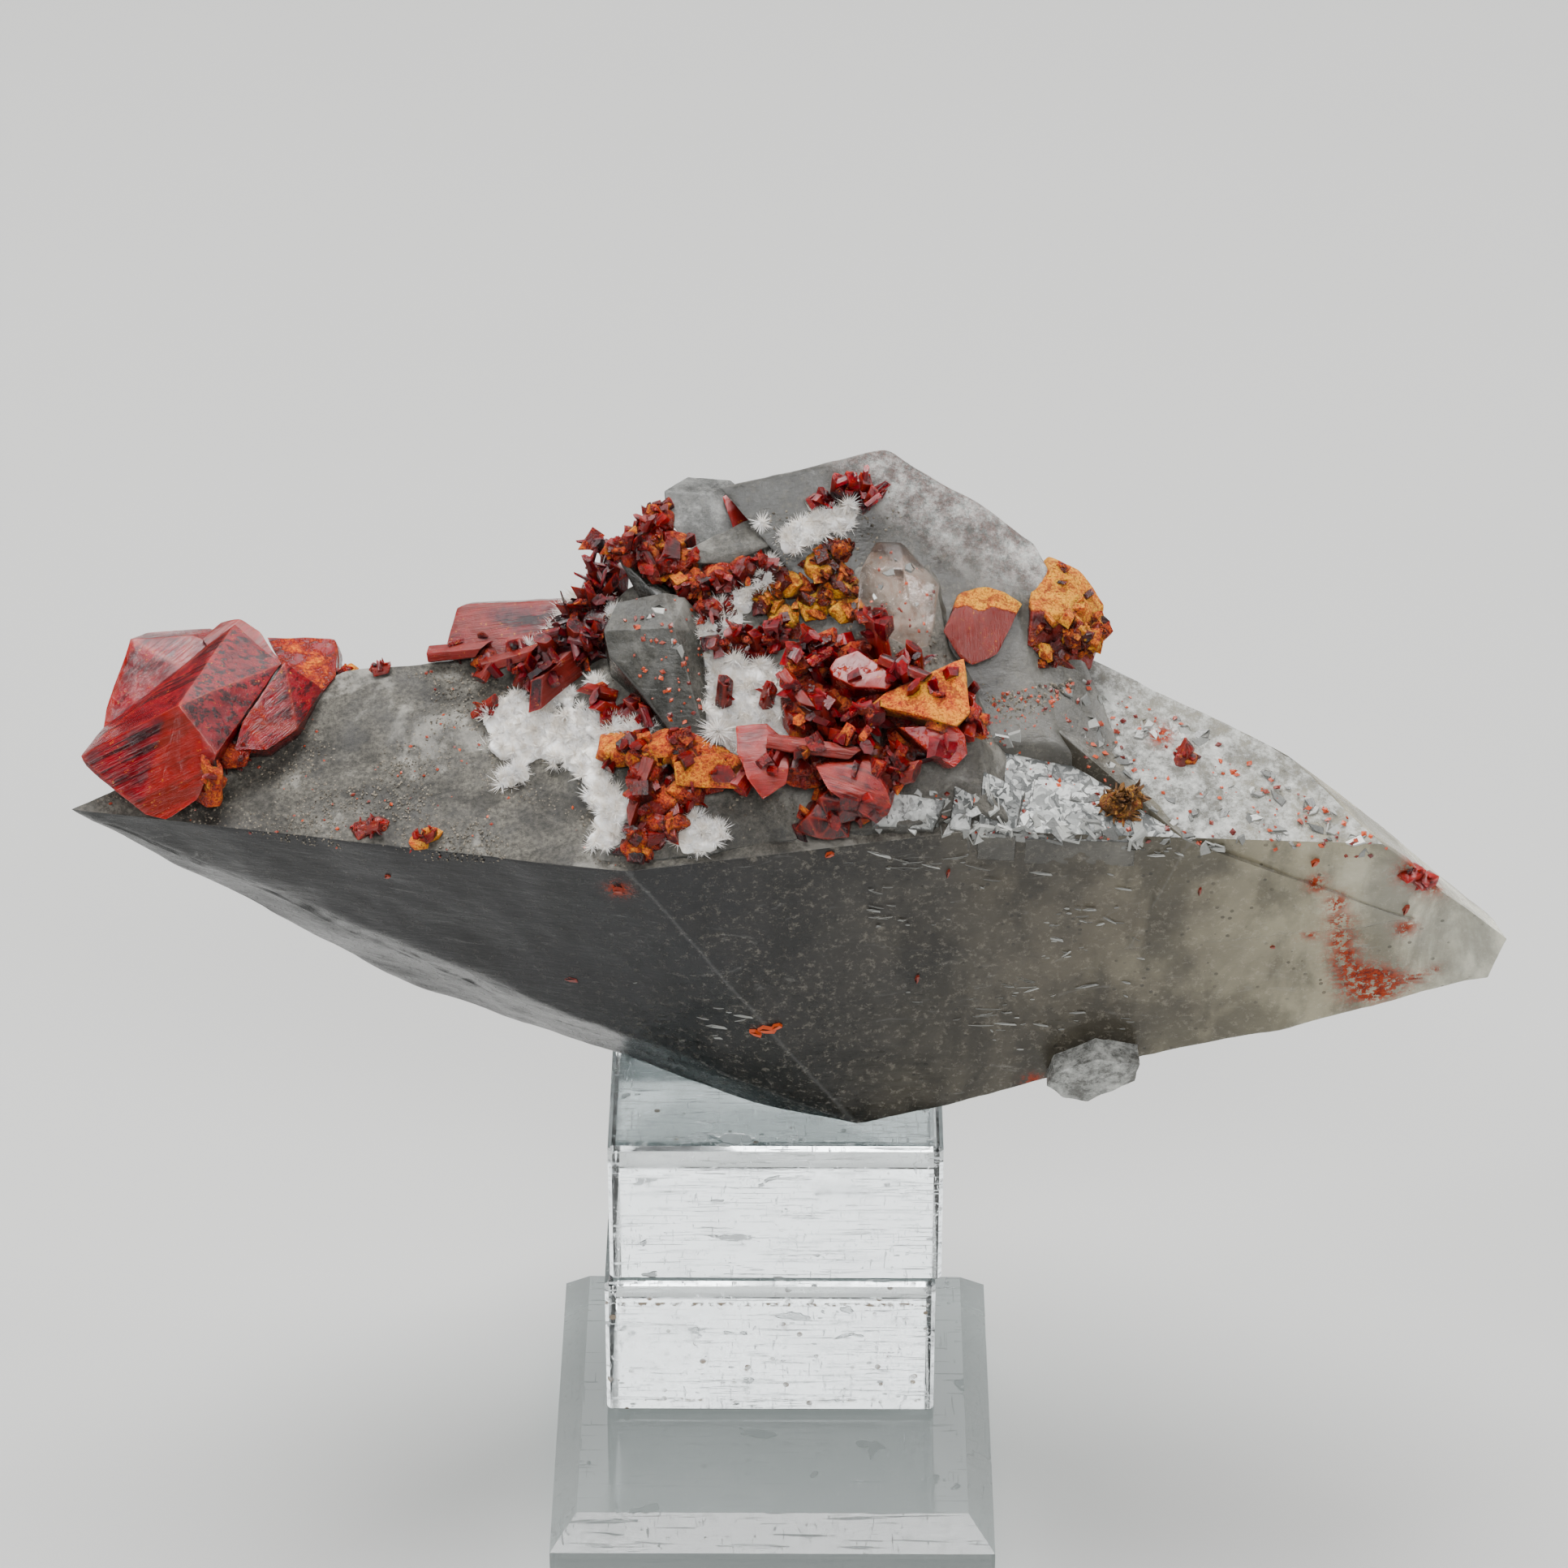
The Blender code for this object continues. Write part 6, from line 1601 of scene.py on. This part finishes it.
dress("realgar_right_high_crystal", right_high(), golden, "realgar_right_high", "realgar_powdered", 0.35,
      0.06, 0.3,
      60, 12, paint=end_powder(at(1300, 825, 4.6), at(1310, 720, 9.5), 0.55, 0.48, 0.2),
      length=(0.8, 1.6), width=(1.0, 2.4), powder=(0.15, 0.45))
dress("realgar_top_crystals", top_group(), glassy, "realgar_top", "realgar_glassy", 0.3, 0.04, 0.04, 30, 13)
dress("realgar_deep_crystal", garnet_red(), glassy, "realgar_deep", "realgar_glassy", 0.3, 0.05, 0.05)
for number, (node, bodies) in enumerate(scatter_groups().items()):
    dress(node + "_crystals", bodies, crumbly, node, "realgar_glassy", 0.25, 0.04, 0.08, 14, 14 + number,
          length=(0.4, 1.0), width=(0.3, 0.7))
ochre_finish = realgar("ochre", tint("#4a2c0c"), tint("#8a5a18"), tint("#8a5a18"), tint("#c8932c"), 4.0, 0.1,
                       0.5)
dress("ochre_clump_crystals", lumps([((1372, 990, 0.2), 1.7, 0.6, 116), ((1392, 986, 0.2), 1.8, 0.6, 117),
                                     ((1383, 1000, 0.1), 1.4, 0.6, 118)]), ochre_finish, "ochre_clump",
                                     "ochre",
      0.3, 0.05, 0.3, 150, 30, length=(0.6, 1.8), width=(0.15, 0.5))


# White crusts

mat_finish = needle_white("white mats", "#f4efe6", "#ffffff")
needle_finish = needle_white("white needles", "#f4ede2", "#ffffff")


def needles(shape, starts, along, wide, reach, chance):
    """Fine needles from their starts along their directions."""
    repeat(shape, *CONE_SHAPE, starts, frames_along(along, chance), np.stack([wide, wide, reach], 1),
           tone=0.5,
           powder=0.0, grooves=0.0)


def white_crust(name, places, size, flat, first_seed, sink, tufts, node, seed):
    """A mat: knobs with rough skins, and sprays of fine needles that start on them
    and fan out about the ground's outward direction."""
    chance = np.random.default_rng(seed)
    knobs = crust(places, size, flat, first_seed, sink)
    base = Shape()
    for knob in knobs:
        add_body(base, knob, 0.3, 0.12, 0.45, 0.9)
    make(name + "_mat", base, mat_finish, node, 60)
    fur = Shape()
    for knob in knobs:
        starts, outward = surface_points(knob.planes, tufts, chance, (0, -0.3, 0.8))
        rays = chance.integers(30, 70, tufts)
        points = np.repeat(starts, rays, 0)
        reach = np.repeat(chance.uniform(0.5, 1.8, tufts), rays) * chance.uniform(0.5, 1.0, rays.sum())
        along = unit(np.repeat(outward, rays, 0) * 0.7 + chance.normal(size=(rays.sum(), 3)) * 0.75)
        along = np.where((along @ np.array([0, -0.4, 0.9]) < -0.1)[:, None], -along, along)
        wide = chance.uniform(0.07, 0.14, rays.sum())
        needles(fur, points - along * 0.1, along, wide, reach, chance)
    make(name + "_needles", fur, needle_finish, node, None, False)


white_crust("crust_left", CRUST_LEFT, 1.9, 0.7, 200, 0.4, 22, "white_crust_left", 41)
white_crust("crust_extra", CRUST_EXTRA, 1.0, 0.7, 300, 0.0, 14, "white_crust_left", 46)
white_crust("crust_middle", CRUST_MIDDLE, 1.8, 0.7, 230, 0.4, 26, "white_crust_middle", 42)
white_crust("crust_strip", CRUST_STRIP, 1.55, 0.8, 260, 0.1, 22, "white_crust_strip", 43)
white_crust("crust_top", CRUST_TOP, 1.5, 0.8, 270, 0.1, 22, "white_crust_top", 44)
white_crust("crust_low", CRUST_LOW, 1.5, 0.6, 290, 0.1, 20, "white_crust_low", 45)


SPRAYS = [(885, 901, 1.6, 260, 2.6), (938, 644, 1.6, 150, 1.4), (1045, 622, 1.6, 170, 1.5),
          (640, 958, 0.6, 110, 1.1),
          (746, 1042, 0.8, 110, 1.1), (905, 812, 1.4, 140, 1.5), (962, 880, 1.4, 140, 1.6)]

chance = np.random.default_rng(61)
shape = Shape()
for px, py, lift, rays, long in SPRAYS:
    start = seen(px, py, lift)
    along = unit(chance.normal(size=(rays, 3)) + unit(EYE - start) * 0.6)
    wide = chance.uniform(0.06, 0.11, rays)
    needles(shape, np.tile(start, (rays, 1)), along, wide, long * chance.uniform(0.5, 1.0, rays), chance)
make("crust_sprays", shape, needle_finish, "white_crust_middle", None, False)


# Loose bits

sand_finish = grains("sand", "#3a352d", "#8a8172", 0.7)
red_finish = grains("red bits", "#5a0403", "#c8480c", 0.45, 1.7)
chip_finish = grains("pale chips", "#565755", "#aeafaa", 0.2)

TOP_LEFT_AREA = [(110, 985), (330, 935), (430, 845), (560, 820), (640, 850), (610, 940), (740, 1010),
                 (770, 1068),
                 (520, 1060), (340, 1035)]
MIDDLE_AREA = [(560, 815), (740, 690), (900, 640), (1100, 600), (1160, 800), (1260, 880), (1000, 1020),
               (780, 1060),
               (620, 900)]
SHOULDER_AREA = [(1255, 880), (1330, 830), (1480, 900), (1620, 985), (1780, 1075), (1600, 1050), (1478, 1055)]
TERRACE_AREA = [(1040, 1010), (1180, 960), (1240, 905), (1330, 960), (1470, 1052), (1250, 1032), (1050, 1022)]
SEAM_AREA = [(1205, 860), (1330, 835), (1300, 870), (1250, 920), (1215, 930)]

chance = np.random.default_rng(77)
shape = Shape()
bits(shape, *scattered(TOP_LEFT_AREA, 4200, chance), chance, (0.08, 0.30))
bits(shape, *scattered(MIDDLE_AREA, 1500, chance), chance, (0.12, 0.4))
bits(shape, *scattered(SEAM_AREA, 400, chance), chance, (0.15, 0.5))
make("sand_grains", shape, sand_finish, "quartz", None, False)

shape = Shape()
bits(shape, *scattered(SHOULDER_AREA, 170, chance), chance, (0.2, 0.8))
bits(shape, *scattered(TOP_LEFT_AREA, 90, chance), chance, (0.15, 0.5))
bits(shape, *scattered(TERRACE_AREA, 60, chance), chance, (0.2, 0.7))
bits(shape, *scattered(SEAM_AREA, 120, chance), chance, (0.2, 0.6))
make("red_bits", shape, red_finish, "quartz", None, False)

shape = Shape()
bits(shape, *scattered(TERRACE_AREA, 90, chance), chance, (0.8, 2.8), template=FLAKE_SHAPE,
     flat=0.10, lift=-0.1, lean=0.14)
bits(shape, *scattered(SHOULDER_AREA, 70, chance), chance, (0.5, 1.8), template=FLAKE_SHAPE, flat=0.12,
     lean=0.15)
make("terrace_chips", shape, chip_finish, "quartz", None, False)


# Painted highlights: bright cracks inside the front face, drawn as pale slivers.
GLINT_CLUSTERS = [(1210, 1138, 70, 16, 22), (1330, 1130, 60, 14, 16), (1270, 1170, 70, 14, 20),
                  (1235, 1215, 40, 16, 16),
                  (1245, 1255, 45, 18, 14), (1150, 1065, 50, 10, 10), (1400, 1050, 60, 8, 12),
                  (1100, 1130, 26, 22, 8),
                  (760, 1215, 40, 14, 6), (880, 1262, 50, 22, 12)]
GLINT_AREA = [(1040, 1045), (1440, 1080), (1400, 1300), (1180, 1310), (1080, 1230)]


def glints(shape, points, outward, chance, size=(0.4, 2.4)):
    """Thin bright slivers lying in a face, drawn out along its level direction: painted glints of cracks inside the
    quartz that catch the light.
    """
    count = len(points)
    level = unit(np.cross(outward, np.array([0.12, 0, 1.0])) + 0.22 * chance.normal(size=(count, 3)))
    level = unit(level - outward * (level * outward).sum(1)[:, None])
    frames = np.stack([level, np.cross(outward, level), outward], 1)
    long = size[0] + (size[1] - size[0]) * chance.uniform(0, 1, count) ** 3
    sizes = np.stack([long, 0.1 + long * chance.uniform(0.04, 0.2, count), np.full(count, 0.06)], 1)
    broken = chance.uniform(0, 1, count) < 0.6
    for template, which in ((SLIVER_SHAPE, broken), (FLAKE_SHAPE, ~broken)):
        repeat(shape, *template, points[which] + outward[which] * 0.02, frames[which], sizes[which],
               tone=chance.uniform(0.4, 1, which.sum()), powder=0.0, grooves=0.0)


shape = Shape()
glints(shape, *scattered(GLINT_AREA, 50, chance), chance)
for px, py, wide, high, count in GLINT_CLUSTERS:
    glints(shape, *scattered(oval(px, py, wide, high), count, chance), chance)
make("face_glints", shape, chip_finish, "quartz", None, False)


INCLUSIONS = [(945, 1268, 1.6, 0.9, 10, 1.0), (932, 1272, 1.2, 0.7, -20, 0.95),
              (957, 1264, 1.0, 0.6, 30, 1.0),
              (705, 1205, 1.3, 0.8, 0, 0.1), (735, 1235, 0.8, 0.7, 20, 0.15), (1168, 1075, 0.9, 0.3, 80, 0.2),
              (1130, 1205, 1.0, 0.4, 85, 0.2), (1478, 1097, 0.9, 0.3, 85, 0.2),
              (478, 1078, 0.6, 0.5, 40, 0.3),
              (1732, 1120, 1.1, 0.5, 75, 0.3), (1568, 1165, 0.5, 0.4, 0, 0.3), (1352, 1345, 0.9, 0.5, 0, 0.5),
              (1620, 1062, 0.9, 0.6, 60, 0.6), (762, 1096, 0.9, 0.6, 0, 0.3), (1022, 1052, 0.8, 0.5, 30, 0.6)]


def inclusions(shape, rows, chance):
    """Small crystals lying flat in the big faces, each at its own place and lean."""
    px, py, long, wide, lean, tone = np.array(rows, float).T
    points, outward, _ = ground(px, py, QUARTZ)
    level = unit(np.cross(outward, np.array([0, 0, 1.0])))
    rise = np.cross(outward, level)
    angle = np.radians(lean)[:, None]
    along = level * np.cos(angle) + rise * np.sin(angle)
    frames = np.stack([along, np.cross(outward, along), outward], 1)
    sizes = np.stack([long, wide, np.full(len(long), 0.35)], 1)
    repeat(shape, *FLAKE_SHAPE, points + outward * 0.1, frames, sizes, tone=tone, powder=0.0, grooves=0.0)


shape = Shape()
inclusions(shape, INCLUSIONS, chance)
make("face_crystals", shape, red_finish, "quartz", None, False)

SMOKY_AREA = [(760, 735), (850, 740), (865, 800), (868, 905), (820, 890), (765, 810)]
CLEAR_AREA = [(1065, 680), (1110, 672), (1152, 725), (1145, 790), (1070, 765)]
shape = Shape()
bits(shape, *scattered(SMOKY_AREA, 60, chance, [smoky_body.planes]), chance, (0.2, 0.7))
bits(shape, *scattered(CLEAR_AREA, 26, chance, [clear_body.planes]), chance, (0.15, 0.5))
make("prism_grains", shape, red_finish, "quartz", None, False)

SMOKY_WHITE = [(833, 797), (828, 790), (838, 803), (800, 760), (812, 752)]
CLEAR_WHITE = [(1085, 722), (1078, 735), (1120, 700), (1104, 690), (1130, 745), (1095, 705)]
shape = Shape()
for places, body in ((SMOKY_WHITE, smoky_body), (CLEAR_WHITE, clear_body)):
    points, outward, _ = ground(*np.array(places).T, [body.planes])
    bits(shape, points, outward, chance, (0.5, 1.4), template=FLAKE_SHAPE, flat=0.15, lean=0.2)
make("prism_flakes", shape, chip_finish, "quartz", None, False)


# Stand

PLATE_TOP = 10.0
LOWER_BLOCK = (10.3, 25.0)
UPPER_BLOCK = (25.3, 40.0)
for name, low, high, dirt in (("base_plate", 0.0, PLATE_TOP, 0.0), ("lower_block", *LOWER_BLOCK, 1.0),
                              ("upper_block", *UPPER_BLOCK, 0.0)):
    stand_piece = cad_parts[name]
    stand_piece.data.materials.clear()
    stand_piece.data.materials.append(acrylic("acrylic " + name, low, high, dirt))


# Stage, lights and camera

def area_light(name, place, target, width, height, power):
    """Soft lamp at a place (m), turned toward a target."""
    lamp = bpy.data.lights.new(name, "AREA")
    lamp.shape, lamp.size, lamp.size_y, lamp.energy = "RECTANGLE", width, height, power
    holder = bpy.data.objects.new(name, lamp)
    holder.location = place
    holder.rotation_euler = (Vector(target) - Vector(place)).to_track_quat("-Z", "Y").to_euler()
    bpy.context.scene.collection.objects.link(holder)


floor_mesh = bpy.data.meshes.new("floor")
floor_mesh.from_pydata([(-2, -2, 0), (2, -2, 0), (2, 3, 0), (-2, 3, 0)], [], [(0, 1, 2, 3)])
floor = bpy.data.objects.new("floor", floor_mesh)
bpy.context.scene.collection.objects.link(floor)
floor_finish, tree, shader, place = begin("floor")
finish(tree, shader, mix(tree, noise(tree, place, 0.01, 3.0), tint("#bcbcba"), tint("#c2c2c0")), 0.85)
floor_mesh.materials.append(floor_finish)

AIM = (0, 0.01, 0.07)
area_light("top softbox", (-0.06, 0.10, 0.75), AIM, 0.44, 0.30, 8.8)
area_light("back softbox", (0.05, 0.75, 0.60), AIM, 1.1, 0.45, 5.0)
area_light("left softbox", (-0.75, -0.15, 0.40), AIM, 0.2, 0.4, 3.2)
area_light("right strip", (0.75, 0.05, 0.35), AIM, 0.15, 0.5, 3.6)
area_light("front fill", (0.08, -0.75, 0.70), AIM, 0.5, 0.25, 7.0)
world = bpy.data.worlds.new("studio")
world.use_nodes = True
world.node_tree.nodes["Background"].inputs[0].default_value = tint("#d8d8d8")
world.node_tree.nodes["Background"].inputs[1].default_value = 0.07
bpy.context.scene.world = world

camera_data = bpy.data.cameras.new("front view")
camera_data.sensor_width = SENSOR
camera_data.lens = EYE_SCALE / PICTURE_SIDE * SENSOR
camera_data.clip_start = 0.01
camera = bpy.data.objects.new("front view", camera_data)
turn = Matrix((EYE_RIGHT, EYE_UP, -EYE_FORWARD)).transposed().to_4x4()
camera.matrix_world = Matrix.Translation(Vector(EYE * MM)) @ turn
bpy.context.scene.collection.objects.link(camera)
bpy.context.scene.camera = camera
